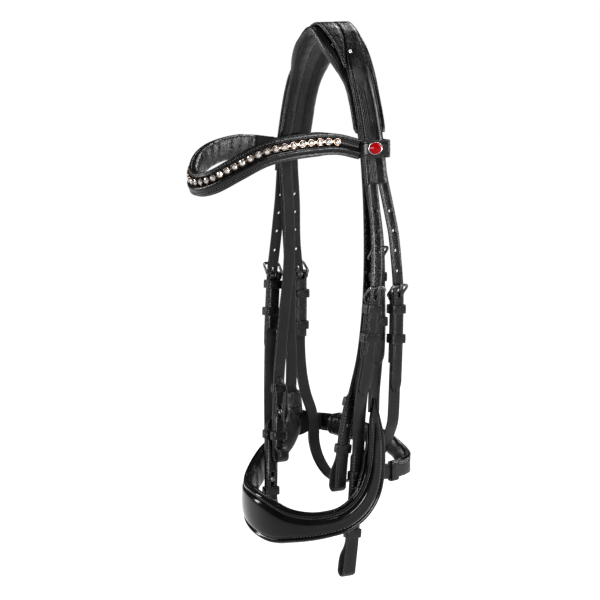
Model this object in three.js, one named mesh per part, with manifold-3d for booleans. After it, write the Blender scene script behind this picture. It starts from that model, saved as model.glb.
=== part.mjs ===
// A leather double bridle headstall: crown, browband, cheekpieces, two slipheads, throatlatch and
// a padded crank noseband, hanging as it does from a hook, with no bits or reins.
// Millimetres, +Z up. The horse's nose points to -Y and its left, the near side, is +X.
// The origin is the middle of the crown pad's underside, where it lies on the poll.

import * as THREE from 'three';
import { mergeVertices } from 'three/addons/utils/BufferGeometryUtils.js';
import Module from 'manifold-3d';

const wasm = await Module();
wasm.setup();

// ---- Driving dimensions -------------------------------------------------------------------

const GAP = 0.3; // clearance left between pieces that touch
const STRAP = 2.4; // thickness of one layer of bridle leather
const CROWN = 2.8; // thickness of the crown strap
const LAYER = STRAP + GAP; // from the middle of one strap to the middle of the next

const CHEEK_WIDTH = 13.4;
const BILLET_WIDTH = 12;
const THROAT_WIDTH = 12.6;
const SLIPHEAD_WIDTH = 12.6;
const CROWN_WIDTH = 24.5;
const HOLE_HEIGHTS = [-168, -187, -206, -226]; // spare holes in the crown's billets
const HOLE_RADIUS = 1.6;

const BUCKLE_HEIGHT = -247; // height of the cheek and throat buckles
const HANGER_BUCKLE_HEIGHT = -210; // height of the noseband hanger's buckle
const BAR = 1.35; // radius of the buckles' wire
const BAR_DROP = 4.5; // buckle bar below the buckle's middle
const FRONT_RISE = 7; // buckle's top side above its middle
const FOLD = BAR + 0.35 + STRAP / 2; // bend radius of a strap folded round a bar
const BELOW_FOLD = 11; // where a folded strap's outer layer runs straight again
const TONGUE = 2.2; // width of a buckle tongue

const BY_FOLD = -LAYER - STRAP / 2 - 1.7; // back of the strap's inner layer just below its fold
const KEEPER_HEIGHT = 8.5;
const KEEPER_WALL = 1.4;
const SLACK = 0.5; // clearance inside a keeper that slides
const RUNNER_TRAVEL = 6; // how far a loose keeper slides each way

const EYE = 5.4; // bend radius of the loops that take the bits

const LONGEST_STEP = 40; // of a strap's facets
const SHARPEST_STEP = 0.6; // radians
const CHORD_ERROR = 0.14;

const NOSE = { halfWidth: 83, halfDepth: 87 }; // plan of the noseband, on its middle
const BROW = { halfWidth: 86, halfDepth: 152 }; // plan of the browband, on its middle
const STONE_PITCH = 8.4;
const STONE_COUNT = 37; // stones in the browband's chain

// What differs between the two sides: where the keepers sit and how long the strap ends are.
const SIDES = {
  near: {
    name: 'near',
    sign: 1,
    billetEnd: -346,
    throatKeepers: [-264, -293],
    throatBilletEnd: -346,
    cheekLower: [-431, -489],
    cheekStud: -444,
    cheekTurnback: -403,
    bradoonLower: [-357, -404],
    bradoonStud: -380,
    bradoonTurnback: -345,
  },
  off: {
    name: 'off',
    sign: -1,
    billetEnd: -331,
    throatKeepers: [-272, -305],
    throatBilletEnd: -340,
    cheekLower: [-412, -468],
    cheekStud: -456,
    cheekTurnback: -395,
    bradoonLower: [-365, -411],
    bradoonStud: -388,
    bradoonTurnback: -353,
  },
};

// ---- Vectors, curves and solids -----------------------------------------------------------

const vec = (x, y, z) => new THREE.Vector3(x, y, z);
const smooth = (points) => {
  const curve = new THREE.CatmullRomCurve3(points, false, 'catmullrom', 0.5);
  curve.arcLengthDivisions = 600;
  return curve;
};
const mirrored = (point) => vec(-point.x, point.y, point.z);
const lerp = THREE.MathUtils.lerp;
const ease = THREE.MathUtils.smoothstep;

const alongY = () => vec(0, 1, 0);
const alongZ = () => vec(0, 0, 1);

function evenly(steps, from = 0, to = 1) {
  return Array.from({ length: steps + 1 }, (_, k) => lerp(from, to, k / steps));
}

// Width of a strap with a rounded point at its far end, as a share of its full width.
function pointed(tipShare) {
  return (u) => {
    const into = THREE.MathUtils.clamp((u - (1 - tipShare)) / tipShare, 0, 1);
    return Math.max(Math.sqrt(1 - into * into), 0.06);
  };
}

function frameAt(curve, across, u) {
  const p = curve.getPointAt(u);
  const t = curve.getTangentAt(u);
  const rough = across(p, t, u);
  const s = rough.addScaledVector(t, -rough.dot(t)).normalize();
  const n = vec(0, 0, 0).crossVectors(t, s);
  return { p, s, n, t };
}

// A point given across, outward and along a frame.
function inFrame(frame, a, o, d) {
  return frame.p
    .clone()
    .addScaledVector(frame.s, a)
    .addScaledVector(frame.n, o)
    .addScaledVector(frame.t, d);
}

// Where a curve passes a height, for curves that fall all the way.
function atHeight(curve, z, from = 0, to = 1) {
  let low = from;
  let high = to;
  const falling = curve.getPointAt(from).z > curve.getPointAt(to).z;
  for (let k = 0; k < 40; k += 1) {
    const middle = (low + high) / 2;
    if (curve.getPointAt(middle).z > z === falling) low = middle;
    else high = middle;
  }
  return (low + high) / 2;
}

// Points beside a curve, at a set distance outward from it.
function beside(curve, across, outward, from, to, count) {
  return evenly(count, from, to).map((u) => {
    const distance = typeof outward === 'function' ? outward(u) : outward;
    return inFrame(frameAt(curve, across, u), 0, distance, 0);
  });
}

function bare(geometry) {
  geometry.deleteAttribute('normal');
  geometry.deleteAttribute('uv');
  return mergeVertices(geometry, 1e-4);
}

// A section carried along a curve: x of the outline runs across, y runs outward.
function sweep(outline, curve, across, options = {}) {
  const stations = options.stations ?? evenly(options.steps ?? 24);
  const widthAt = options.widthAt ?? (() => 1);
  const thickAt = options.thickAt ?? (() => 1);
  const shiftAt = options.shiftAt ?? (() => 0);
  const last = stations.length - 1;
  const shape = new THREE.Shape(outline.map(([x, y]) => new THREE.Vector2(x, y)));
  const settings = { depth: 1, steps: last, bevelEnabled: false };
  const geometry = new THREE.ExtrudeGeometry(shape, settings);
  const frames = stations.map((u) => frameAt(curve, across, u));
  const { position } = geometry.attributes;
  for (let i = 0; i < position.count; i += 1) {
    const k = Math.round(position.getZ(i) * last);
    const u = stations[k];
    const a = position.getX(i) * widthAt(u, frames[k].p) + shiftAt(u, frames[k].p);
    const point = inFrame(frames[k], a, position.getY(i) * thickAt(u), 0);
    position.setXYZ(i, point.x, point.y, point.z);
  }
  return bare(geometry);
}

// The section of a flat strap.
function flat(width, thickness = STRAP) {
  const w = width / 2;
  const h = thickness / 2;
  return [
    [-w, -h],
    [w, -h],
    [w, h],
    [-w, h],
  ];
}

// The section of a padded band: flat outside, rounded towards the horse.
function padded(width, thickness, sides = 5) {
  const w = width / 2;
  const outline = [
    [w * 0.92, thickness * 0.3],
    [-w * 0.92, thickness * 0.3],
  ];
  for (let k = 0; k <= sides; k += 1) {
    const turn = Math.PI + (Math.PI * k) / sides;
    const x = w * Math.sign(Math.cos(turn)) * Math.abs(Math.cos(turn)) ** 0.55;
    outline.push([x, thickness * 0.7 * Math.sin(turn)]);
  }
  return outline;
}

// The section of a domed band, with its crown outward.
function domed(width, rise, edge = 1.2, sides = 6) {
  const w = width / 2;
  const outline = [];
  for (let k = 0; k <= sides; k += 1) {
    const turn = (Math.PI * k) / sides;
    outline.push([w * Math.cos(turn), edge + (rise - edge) * Math.sin(turn)]);
  }
  outline.push([-w, 0], [w, 0]);
  return outline;
}

function flipX(geometry) {
  const copy = geometry.clone();
  copy.scale(-1, 1, 1);
  const { index } = copy;
  for (let i = 0; i < index.count; i += 3) {
    const first = index.getX(i);
    index.setX(i, index.getX(i + 2));
    index.setX(i + 2, first);
  }
  return copy;
}

const forSide = (geometry, side) => (side.sign > 0 ? geometry : flipX(geometry));

function toSolid(geometry) {
  const merged = geometry.index ? geometry : bare(geometry);
  const mesh = new wasm.Mesh({
    numProp: 3,
    vertProperties: new Float32Array(merged.attributes.position.array),
    triVerts: new Uint32Array(merged.index.array),
  });
  return new wasm.Manifold(mesh);
}

function toGeometry(solid) {
  const mesh = solid.getMesh();
  const geometry = new THREE.BufferGeometry();
  geometry.setAttribute('position', new THREE.BufferAttribute(mesh.vertProperties.slice(), 3));
  geometry.setIndex(new THREE.BufferAttribute(mesh.triVerts.slice(), 1));
  return geometry;
}

function joined(geometries) {
  const [first, ...rest] = geometries.map(toSolid);
  return toGeometry(rest.reduce((sum, solid) => sum.add(solid), first));
}

function without(geometry, cutters) {
  return toGeometry(cutters.map(toSolid).reduce((left, tool) => left.subtract(tool), toSolid(geometry)));
}

// Turns a geometry made in x across, y outward, z along, into a frame's place.
function place(geometry, frame) {
  const matrix = new THREE.Matrix4().makeBasis(frame.s, frame.n, frame.t).setPosition(frame.p);
  return geometry.applyMatrix4(matrix);
}

// A round or slotted punch through a strap, along the outward direction.
function punch(frame, radius, halfSlot = 0, depth = 9, outward = 0, along = 0) {
  const shape = new THREE.Shape();
  shape.absarc(0, halfSlot, radius, 0, Math.PI, false);
  shape.absarc(0, -halfSlot, radius, Math.PI, 2 * Math.PI, false);
  const settings = { depth, bevelEnabled: false, curveSegments: 3 };
  const geometry = new THREE.ExtrudeGeometry(shape, settings);
  geometry.translate(0, 0, -depth / 2);
  geometry.rotateX(Math.PI / 2);
  geometry.translate(0, outward, along);
  return bare(place(geometry, frame));
}

function box(width, outward, along) {
  const geometry = new THREE.BoxGeometry(width, outward[1] - outward[0], along[1] - along[0]);
  return geometry.translate(0, (outward[0] + outward[1]) / 2, (along[0] + along[1]) / 2);
}

// ---- The lines that the straps follow, on the near side -----------------------------------

// The outer face of the crown pad, seen from the front, where the slipheads lie.
const SEAT_HALF = [
  [19, -9],
  [38, -27],
  [53.7, -47.5],
  [64.4, -72],
  [70.5, -92],
  [75, -108],
  [77.5, -120],
];
const seatLine = smooth([
  ...SEAT_HALF.map(([x, z]) => vec(-x, 0, z)).reverse(),
  vec(0, 0, 2.5),
  ...SEAT_HALF.map(([x, z]) => vec(x, 0, z)),
]);

// The middle of the strap that each buckle's bar is sewn into. The billet lies one layer outside.
// Below the buckles the cheekpieces and bradoon ends hang inside the noseband, each in its own way.
const cheekTop = [
  vec(81.6, -8.5, -122),
  vec(85, -8, -142),
  vec(90, -7.4, -172),
  vec(93.4, -7.8, -192),
  vec(95.9, -8.7, -212),
  vec(97.7, -10.2, -231),
  vec(98.3, -12, -247),
  vec(97.2, -14.5, -275),
];
const cheekLines = {
  near: smooth([
    ...cheekTop,
    vec(94.6, -17.8, -320),
    vec(87.5, -18, -343),
    vec(79.5, -15.4, -365),
    vec(73, -13, -386),
    vec(70.6, -11.9, -405),
    vec(69, -12.4, -431),
    vec(67.6, -15.8, -490),
    vec(66.4, -19.2, -527),
  ]),
  off: smooth([
    ...cheekTop,
    vec(93.5, -18.6, -320),
    vec(83.5, -25, -372),
    vec(70.5, -32, -408),
    vec(61, -37, -436),
    vec(57.5, -39.3, -470),
    vec(56, -40, -505),
  ]),
};
const throatLine = smooth([
  vec(81.6, 2.4, -122),
  vec(85, 5, -142),
  vec(89.6, 9.6, -172),
  vec(92.9, 12, -192),
  vec(94.8, 13.3, -212),
  vec(95.2, 15, -231),
  vec(94.4, 16.6, -247),
  vec(93.8, 17, -270),
  vec(93.4, 16.6, -300),
  vec(92.4, 16, -335),
  vec(88, 17.6, -367),
  vec(82.8, 19.2, -381),
  vec(75.4, 19.8, -393),
  vec(68.8, 18.6, -405),
  vec(59, 13.4, -421),
  vec(42, 9.4, -437),
  vec(20, 8, -448),
  vec(0, 8, -451),
]);
const bradoonTop = [
  vec(79.4, -8.2, -135),
  vec(78.8, -6, -165),
  vec(78, -4.6, -205),
  vec(78.4, -5.6, -245),
  vec(79.6, -9, -280),
];
const bradoonEnds = {
  near: [vec(77, -13.2, -318), vec(68.5, -20, -363), vec(62, -23.6, -404), vec(60, -26, -441.5)],
  off: [vec(77.5, -14.5, -318), vec(68, -23.5, -363), vec(58, -30, -400), vec(55, -31.3, -431.5)],
};
const hangerSide = [
  vec(83, -8, -135),
  vec(85.4, -4.6, -165),
  vec(86.8, -1.8, -200),
  vec(86.8, -0.6, -220),
  vec(86.2, 0.2, -245),
  vec(86.2, 0.8, -285),
  vec(84.4, 0.3, -318),
  vec(81.4, -0.4, -343),
  vec(81.2, -1, -366),
];

// The middle of the slipheads where they cross the poll, and how far forward they lie there.
function overPoll(outward, forward, count = 26) {
  return beside(seatLine, alongY, outward, 0.03, 0.97, count).map((point) => {
    const side = Math.abs(point.x) / SEAT_HALF.at(-1)[0];
    return vec(point.x, lerp(forward, -9, ease(side, 0.1, 1)), point.z);
  });
}

// ---- Strap ends ---------------------------------------------------------------------------

// A half turn, from one side of a bar or ring to the other, seen along the width.
function halfTurn(frame, outward, along, radius, up, count = 6) {
  return Array.from({ length: count + 1 }, (_, k) => {
    const turn = (Math.PI * k) / count;
    const step = radius * Math.sin(turn) * (up ? -1 : 1);
    const side = radius * Math.cos(turn) * (up ? -1 : 1);
    return inFrame(frame, 0, outward + side, along + step);
  });
}

// Points of a strap's inner layer, from its loose end up to the bar that it is folded round.
function foldedTop(line, across, barU, reach) {
  const frame = frameAt(line, across, barU);
  const length = line.getLength();
  const from = barU + BELOW_FOLD / length;
  const straight = beside(line, across, -LAYER, from, barU + reach / length, 3).reverse();
  return [
    ...straight,
    inFrame(frame, 0, 0.4 - 2 * FOLD, BAR_DROP + 2.4),
    ...halfTurn(frame, -FOLD, BAR_DROP, FOLD, true),
    inFrame(frame, 0, 0, BAR_DROP + 2.4),
  ];
}

// Points round the loop for a bit and back up on the inside to the turned-back end.
function foldedBottom(line, turnbackZ, closeZ) {
  const end = frameAt(line, alongY, 1);
  const closeU = atHeight(line, closeZ);
  const backU = atHeight(line, turnbackZ);
  return [
    ...halfTurn(end, -EYE, 0, EYE, false, 6),
    inFrame(frameAt(line, alongY, lerp(closeU, 1, 0.55)), 0, -2 * EYE + 1, 0),
    ...beside(line, alongY, -LAYER, backU, closeU, 3).reverse(),
  ];
}

// The share of a curve's length at which it passes nearest to a point.
function nearestU(curve, point) {
  const distance = (u) => curve.getPointAt(u).distanceTo(point);
  return evenly(900).reduce((best, u) => (distance(u) < distance(best) ? u : best), 0);
}

// Stations close enough together that no step cuts a bend by more than a hair.
function byBend(curve, longest = LONGEST_STEP) {
  const stations = [0];
  const samples = 1600;
  const piece = curve.getLength() / samples;
  let travelled = 0;
  let turned = 0;
  let before = curve.getTangentAt(0);
  for (let k = 1; k < samples; k += 1) {
    const tangent = curve.getTangentAt(k / samples);
    travelled += piece;
    turned += tangent.angleTo(before);
    before = tangent;
    if (travelled > longest || turned > SHARPEST_STEP || (travelled * turned) / 8 > CHORD_ERROR) {
      stations.push(k / samples);
      travelled = 0;
      turned = 0;
    }
  }
  stations.push(1);
  return stations;
}

// The same, with more stations over a pointed end that takes up the last part of the length.
function byBendToTip(curve, tipShare, tipSteps = 5) {
  const tip = Array.from({ length: tipSteps }, (_, k) => {
    const turn = ((k + 1) / tipSteps) * (Math.PI / 2);
    return 1 - tipShare * (1 - Math.sin(turn));
  });
  return [...byBend(curve).filter((u) => u < 1 - tipShare * 1.1), 1 - tipShare, ...tip];
}

// Keeps a strap's width square to its buckle where it is folded round the bar.
const squareTo = (buckle) => (p) => {
  const away = p.distanceTo(inFrame(buckle, 0, -FOLD, BAR_DROP));
  return vec(0, 1, 0).lerp(buckle.s, 1 - ease(away, 6, 16));
};

function foldedStrap(width, points, across = alongY) {
  const curve = smooth(points);
  return sweep(flat(width), curve, across, { stations: byBend(curve) });
}

// ---- Buckles and keepers ------------------------------------------------------------------

// Frames sit at a buckle's middle, on the line of the strap sewn to it.
function buckleFrame(frame, strapWidth) {
  const halfWidth = strapWidth / 2 + 1.1 + BAR;
  const halfHeight = (BAR_DROP + FRONT_RISE) / 2;
  const corner = 2.2;
  const sides = 6;
  const around = 24;
  const shape = new THREE.Shape();
  shape.moveTo(halfWidth, -halfHeight + corner);
  shape.lineTo(halfWidth, halfHeight - corner);
  shape.absarc(halfWidth - corner, halfHeight - corner, corner, 0, Math.PI / 2, false);
  shape.absarc(-halfWidth + corner, halfHeight - corner, corner, Math.PI / 2, Math.PI, false);
  shape.absarc(-halfWidth + corner, -halfHeight + corner, corner, Math.PI, 1.5 * Math.PI, false);
  shape.absarc(halfWidth - corner, -halfHeight + corner, corner, 1.5 * Math.PI, 2 * Math.PI, false);
  const ring = 10;
  const geometry = new THREE.TorusGeometry(ring, BAR, sides, around);
  const { position } = geometry.attributes;
  const outerBar = STRAP / 2 + LAYER + GAP + BAR;
  const lift = outerBar + FOLD;
  for (let i = 0; i < position.count; i += 1) {
    const turn = Math.atan2(position.getY(i), position.getX(i)) / (2 * Math.PI);
    const share = ((turn % 1) + 1) % 1;
    const centre = shape.getPointAt(share);
    const tangent = shape.getTangentAt(share);
    const radial = Math.hypot(position.getX(i), position.getY(i)) - ring;
    const a = centre.x + tangent.y * radial;
    const along = centre.y - tangent.x * radial;
    const climb = (halfHeight - centre.y) / (2 * halfHeight);
    const outward = -FOLD + lift * ease(climb, 0, 1) + position.getZ(i);
    position.setXYZ(i, a, outward, along + (BAR_DROP - FRONT_RISE) / 2);
  }
  geometry.index.array.forEach((_, i, array) => {
    if (i % 3 !== 0) return;
    [array[i], array[i + 2]] = [array[i + 2], array[i]];
  });
  return bare(place(geometry, frame));
}

// The tongue turns on the bar, comes up through the hole and rests on the buckle's top side.
function buckleTongue(frame) {
  const eyeInner = BAR + 0.4;
  const eyeOuter = eyeInner + 1.1;
  const topOut = STRAP / 2 + LAYER + GAP + 2 * BAR + 0.35;
  const shape = new THREE.Shape();
  shape.moveTo(-FRONT_RISE - 2.4, topOut + 0.2);
  shape.lineTo(-FRONT_RISE - 2.2, topOut + 1.3);
  shape.lineTo(-4, topOut + 1.3);
  shape.lineTo(1.6, LAYER + 1);
  shape.lineTo(BAR_DROP + 0.6, -FOLD + eyeOuter);
  shape.absarc(BAR_DROP, -FOLD, eyeOuter, Math.PI / 2 - 0.2, -Math.PI * 0.86, true);
  shape.lineTo(-0.5, LAYER - 1.4);
  shape.lineTo(-4.6, topOut - 0.1);
  const hole = new THREE.Path();
  hole.absarc(BAR_DROP, -FOLD, eyeInner, 0, 2 * Math.PI, false);
  shape.holes.push(hole);
  const settings = { depth: TONGUE, bevelEnabled: false, curveSegments: 5 };
  const geometry = new THREE.ExtrudeGeometry(shape, settings);
  // x of the shape runs along the strap, y outward and the depth across it.
  geometry.translate(0, 0, -TONGUE / 2);
  geometry.rotateY(-Math.PI / 2);
  return bare(place(geometry, frame));
}

// The slot that lets the tongue's eye sit in the fold of its strap.
function tongueSlot(frame) {
  return bare(place(box(TONGUE + 1.2, [-2 * FOLD - 4, 2.2], [0.5, BAR_DROP + FOLD + 1.4]), frame));
}

// A band of leather round a stack of straps.
function keeper(frame, width, from, to, height = KEEPER_HEIGHT, slack = GAP, wall = KEEPER_WALL) {
  const a = width / 2 + slack;
  const low = from - slack;
  const high = to + slack;
  const shape = new THREE.Shape();
  const round = wall * 0.8;
  shape.moveTo(-a - wall, low - wall + round);
  shape.lineTo(-a - wall + round, low - wall);
  shape.lineTo(a + wall - round, low - wall);
  shape.lineTo(a + wall, low - wall + round);
  shape.lineTo(a + wall, high + wall - round);
  shape.lineTo(a + wall - round, high + wall);
  shape.lineTo(-a - wall + round, high + wall);
  shape.lineTo(-a - wall, high + wall - round);
  const hole = new THREE.Path();
  hole.moveTo(-a, low);
  hole.lineTo(-a, high);
  hole.lineTo(a, high);
  hole.lineTo(a, low);
  shape.holes.push(hole);
  const geometry = new THREE.ExtrudeGeometry(shape, { depth: height, bevelEnabled: false });
  geometry.translate(0, 0, -height / 2);
  return bare(place(geometry, frame));
}

// A hook stud: a rivet through the strap, a neck in the turned-back end's slit, and a button.
function hookStud(frame) {
  const outline = [
    [0, STRAP / 2 - 0.2],
    [1.2, STRAP / 2 - 0.2],
    [1.2, -LAYER - STRAP / 2 - 0.35],
    [2.9, -LAYER - STRAP / 2 - 0.35],
    [2.9, -LAYER - STRAP / 2 - 1],
    [1.9, -LAYER - STRAP / 2 - 1.8],
    [0, -LAYER - STRAP / 2 - 2],
  ].reverse();
  const points = outline.map(([r, h]) => new THREE.Vector2(r, h));
  return bare(place(new THREE.LatheGeometry(points, 8), frame));
}

// ---- Materials and nodes ------------------------------------------------------------------

const leather = (colour = 0x16161a, roughness = 0.5) =>
  new THREE.MeshStandardMaterial({ color: colour, roughness, metalness: 0 });
const metal = (colour = 0x6e6e72) =>
  new THREE.MeshStandardMaterial({ color: colour, roughness: 0.28, metalness: 1 });
const patent = () => new THREE.MeshStandardMaterial({ color: 0x0a0a0c, roughness: 0.08, metalness: 0 });
const padding = () => leather(0x1b1b1f, 0.68);

const bridle = new THREE.Group();

function add(name, geometry, material) {
  geometry.computeVertexNormals();
  const mesh = new THREE.Mesh(geometry, material);
  mesh.name = name;
  bridle.add(mesh);
}

// ---- Crown --------------------------------------------------------------------------------

const PAD_END = 0.09; // share of the crown's line left bare at each end of the pad

// The pad is widest over the poll, cut back behind the ears, and wider again above the browband.
function crownPad() {
  const outline = [
    [0.96, 0],
    [-0.96, 0],
    [-1, -2],
    [-0.94, -5],
    [-0.62, -6.5],
    [-0.3, -5],
    [-0.18, -2.5],
    [0.18, -2.5],
    [0.3, -5],
    [0.62, -6.5],
    [0.94, -5],
    [1, -2],
  ];
  const side = (u) => Math.abs(2 * u - 1);
  const front = (u) => lerp(27, 18, ease(side(u), 0.15, 0.62)) + 2 * ease(side(u), 0.75, 1);
  const back = (u) => lerp(24, 20, ease(side(u), 0.1, 0.6)) - 3 * ease(side(u), 0.9, 1);
  const widthAt = (u) => (front(u) + back(u)) / 2;
  const shiftAt = (u) => (back(u) - front(u)) / 2;
  const stations = evenly(32, PAD_END, 1 - PAD_END);
  return sweep(outline, seatLine, alongY, { stations, widthAt, shiftAt });
}

// The crown strap lies further back over the poll, where it is narrower.
const crownMiddle = (x) => lerp(9.6, -3.4, ease(Math.abs(x), 12, 66));
const crownShare = (x) => lerp(0.7, 1, ease(Math.abs(x), 14, 52));
const CROWN_LIFT = 2 * LAYER + GAP + CROWN / 2;

// The stitched cover in front of the crown strap, over the slipheads.
function crownCover() {
  const reach = 0.2;
  const front = -17.5;
  const back = (x) => crownMiddle(x) - (crownShare(x) * CROWN_WIDTH) / 2 - 4 * GAP;
  const curve = smooth(beside(seatLine, alongY, CROWN_LIFT, 0.5 - reach, 0.5 + reach, 16));
  return sweep(flat(1, STRAP), curve, alongY, {
    steps: 16,
    widthAt: (u, p) => back(p.x) - front,
    shiftAt: (u, p) => (back(p.x) + front) / 2,
  });
}

function crownStrap() {
  const topHalf = beside(seatLine, alongY, CROWN_LIFT, 0.5, 1, 12);
  const low = vec(88.2, -3, -142);
  const half = [...topHalf.map((point) => vec(point.x, crownMiddle(point.x), point.z)), low];
  const curve = smooth([...half.slice(1).map(mirrored).reverse(), ...half]);
  const widthAt = (u, p) => crownShare(p.x);
  const main = sweep(flat(CROWN_WIDTH, CROWN), curve, alongY, { stations: byBend(curve), widthAt });
  const pieces = [main];
  const cuts = [];
  for (const side of Object.values(SIDES)) {
    for (const [line, width, endZ] of [
      [cheekLines[side.name], BILLET_WIDTH, side.billetEnd],
      [throatLine, BILLET_WIDTH - 0.4, side.throatBilletEnd],
    ]) {
      const startU = atHeight(line, -128);
      const endU = atHeight(line, endZ, 0, 0.8);
      const points = beside(line, alongY, LAYER, startU, endU, 14);
      const path = smooth(points);
      const tipShare = 12 / path.getLength();
      const stations = byBendToTip(path, tipShare);
      const billet = sweep(flat(width), path, alongY, { stations, widthAt: pointed(tipShare) });
      pieces.push(forSide(billet, side));
      for (const z of HOLE_HEIGHTS) {
        const hole = punch(frameAt(path, alongY, atHeight(path, z)), HOLE_RADIUS);
        cuts.push(forSide(hole, side));
      }
      const buckle = frameAt(line, alongY, atHeight(line, BUCKLE_HEIGHT, 0, 0.8));
      cuts.push(forSide(punch(buckle, TONGUE / 2 + 0.6, 2.6, 6, LAYER, 0.9), side));
    }
  }
  return without(joined(pieces), cuts);
}

// A small domed rivet closes the slit between the crown strap and its cover.
function crownRivet() {
  const u = nearestU(seatLine, vec(36, 0, -25));
  const frame = frameAt(seatLine, alongY, u);
  const foot = CROWN_LIFT + CROWN / 2 + GAP;
  const outline = [
    [0, foot],
    [2.2, foot],
    [2.2, foot + 0.5],
    [1.5, foot + 1.2],
    [0, foot + 1.5],
  ];
  const points = outline.map(([r, h]) => new THREE.Vector2(r, h));
  return bare(place(new THREE.LatheGeometry(points, 10), frame));
}

// ---- Cheekpieces --------------------------------------------------------------------------

function cheekStrap(side) {
  const cheekLine = cheekLines[side.name];
  const cheekBarU = atHeight(cheekLine, BUCKLE_HEIGHT);
  const down = beside(cheekLine, alongY, 0, cheekBarU + BELOW_FOLD / cheekLine.getLength(), 1, 9);
  const closeZ = side.cheekLower[1] - KEEPER_HEIGHT / 2 - 4;
  const points = [
    ...foldedTop(cheekLine, alongY, cheekBarU, 62),
    ...down,
    ...foldedBottom(cheekLine, side.cheekTurnback, closeZ),
  ];
  const buckle = frameAt(cheekLine, alongY, cheekBarU);
  const strap = foldedStrap(CHEEK_WIDTH, points, squareTo(buckle));
  const middle = frameAt(cheekLine, alongY, atHeight(cheekLine, side.cheekStud));
  return without(strap, [
    tongueSlot(buckle),
    punch(middle, 1.6, 0, 4, 0),
    punch(middle, 1.7, 6, 4, -LAYER),
  ]);
}

function addCheekpiece(name, side) {
  const cheekLine = cheekLines[name];
  const buckle = frameAt(cheekLine, alongY, atHeight(cheekLine, BUCKLE_HEIGHT));
  const at = (z) => frameAt(cheekLine, alongY, atHeight(cheekLine, z));
  const stack = [-LAYER - STRAP / 2 - GAP, LAYER + STRAP / 2];
  const lower = [-LAYER - STRAP / 2, STRAP / 2];
  add(`${name}_cheekpiece`, forSide(cheekStrap(side), side), leather());
  add(`${name}_cheek_buckle`, forSide(buckleFrame(buckle, CHEEK_WIDTH), side), metal());
  add(`${name}_cheek_tongue`, forSide(buckleTongue(buckle), side), metal());
  const fixed = keeper(at(-261), CHEEK_WIDTH, BY_FOLD, stack[1]);
  add(`${name}_cheek_keeper`, forSide(fixed, side), leather());
  const runner = keeper(at(-289), CHEEK_WIDTH, ...stack, KEEPER_HEIGHT, SLACK);
  add(`${name}_cheek_runner`, forSide(runner, side), leather());
  const lowKeeper = keeper(at(side.cheekLower[0]), CHEEK_WIDTH, ...lower);
  add(`${name}_cheek_lower_keeper`, forSide(lowKeeper, side), leather());
  const lowRunner = keeper(at(side.cheekLower[1]), CHEEK_WIDTH, ...lower, KEEPER_HEIGHT, SLACK);
  add(`${name}_cheek_lower_runner`, forSide(lowRunner, side), leather());
  const stud = hookStud(at(side.cheekStud));
  add(`${name}_cheek_hook_stud`, forSide(stud, side), metal());
}

// ---- Bradoon sliphead ---------------------------------------------------------------------

const BRADOON_SEAM = 14; // height of the seam above the turned-back end
const bradoonPoll = overPoll(GAP + STRAP / 2 + 0.06, -6);
const bradoonLineOf = (name) => smooth([bradoonPoll.at(-1), ...bradoonTop, ...bradoonEnds[name]]);
const bradoonLines = { near: bradoonLineOf('near'), off: bradoonLineOf('off') };

// The strap over the poll, down to the ends that are sewn to it.
function bradoonStrap() {
  const down = (side) => {
    const bradoonLine = bradoonLines[side.name];
    const seamU = atHeight(bradoonLine, side.bradoonTurnback + BRADOON_SEAM);
    return beside(bradoonLine, alongY, 0, 0.06, seamU, 8);
  };
  return foldedStrap(SLIPHEAD_WIDTH, [
    ...down(SIDES.off).map(mirrored).reverse(),
    ...bradoonPoll,
    ...down(SIDES.near),
  ]);
}

// A doubled end: down from the seam, round the loop for the bit and back up on the inside.
function bradoonEnd(name, side) {
  const bradoonLine = bradoonLines[name];
  const closeZ = side.bradoonLower[1] - KEEPER_HEIGHT / 2 - 4;
  const seamU = atHeight(bradoonLine, side.bradoonTurnback + BRADOON_SEAM - GAP);
  const strap = foldedStrap(SLIPHEAD_WIDTH, [
    ...beside(bradoonLine, alongY, 0, seamU, 1, 7),
    ...foldedBottom(bradoonLine, side.bradoonTurnback, closeZ),
  ]);
  const middle = frameAt(bradoonLine, alongY, atHeight(bradoonLine, side.bradoonStud));
  return without(strap, [punch(middle, 1.6, 0, 4, 0), punch(middle, 1.7, 6, 4, -LAYER)]);
}

function addBradoonEnd(name, side) {
  const bradoonLine = bradoonLines[name];
  const at = (z) => frameAt(bradoonLine, alongY, atHeight(bradoonLine, z));
  const lower = [-LAYER - STRAP / 2, STRAP / 2];
  const [upperZ, lowerZ] = side.bradoonLower;
  add(`${name}_bradoon_end`, forSide(bradoonEnd(name, side), side), leather());
  const fixed = keeper(at(upperZ), SLIPHEAD_WIDTH, ...lower);
  add(`${name}_bradoon_keeper`, forSide(fixed, side), leather());
  const runner = keeper(at(lowerZ), SLIPHEAD_WIDTH, ...lower, KEEPER_HEIGHT, SLACK);
  add(`${name}_bradoon_runner`, forSide(runner, side), leather());
  const stud = hookStud(at(side.bradoonStud));
  add(`${name}_bradoon_hook_stud`, forSide(stud, side), metal());
}

// ---- Noseband hanger ----------------------------------------------------------------------

const hangerPoll = overPoll(GAP + LAYER + STRAP / 2 + 0.12, -6);
const hangerLine = smooth([hangerPoll.at(-1), ...hangerSide]);
const hangerBarU = atHeight(hangerLine, HANGER_BUCKLE_HEIGHT);
const HANGER_TIP = -318;

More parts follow.
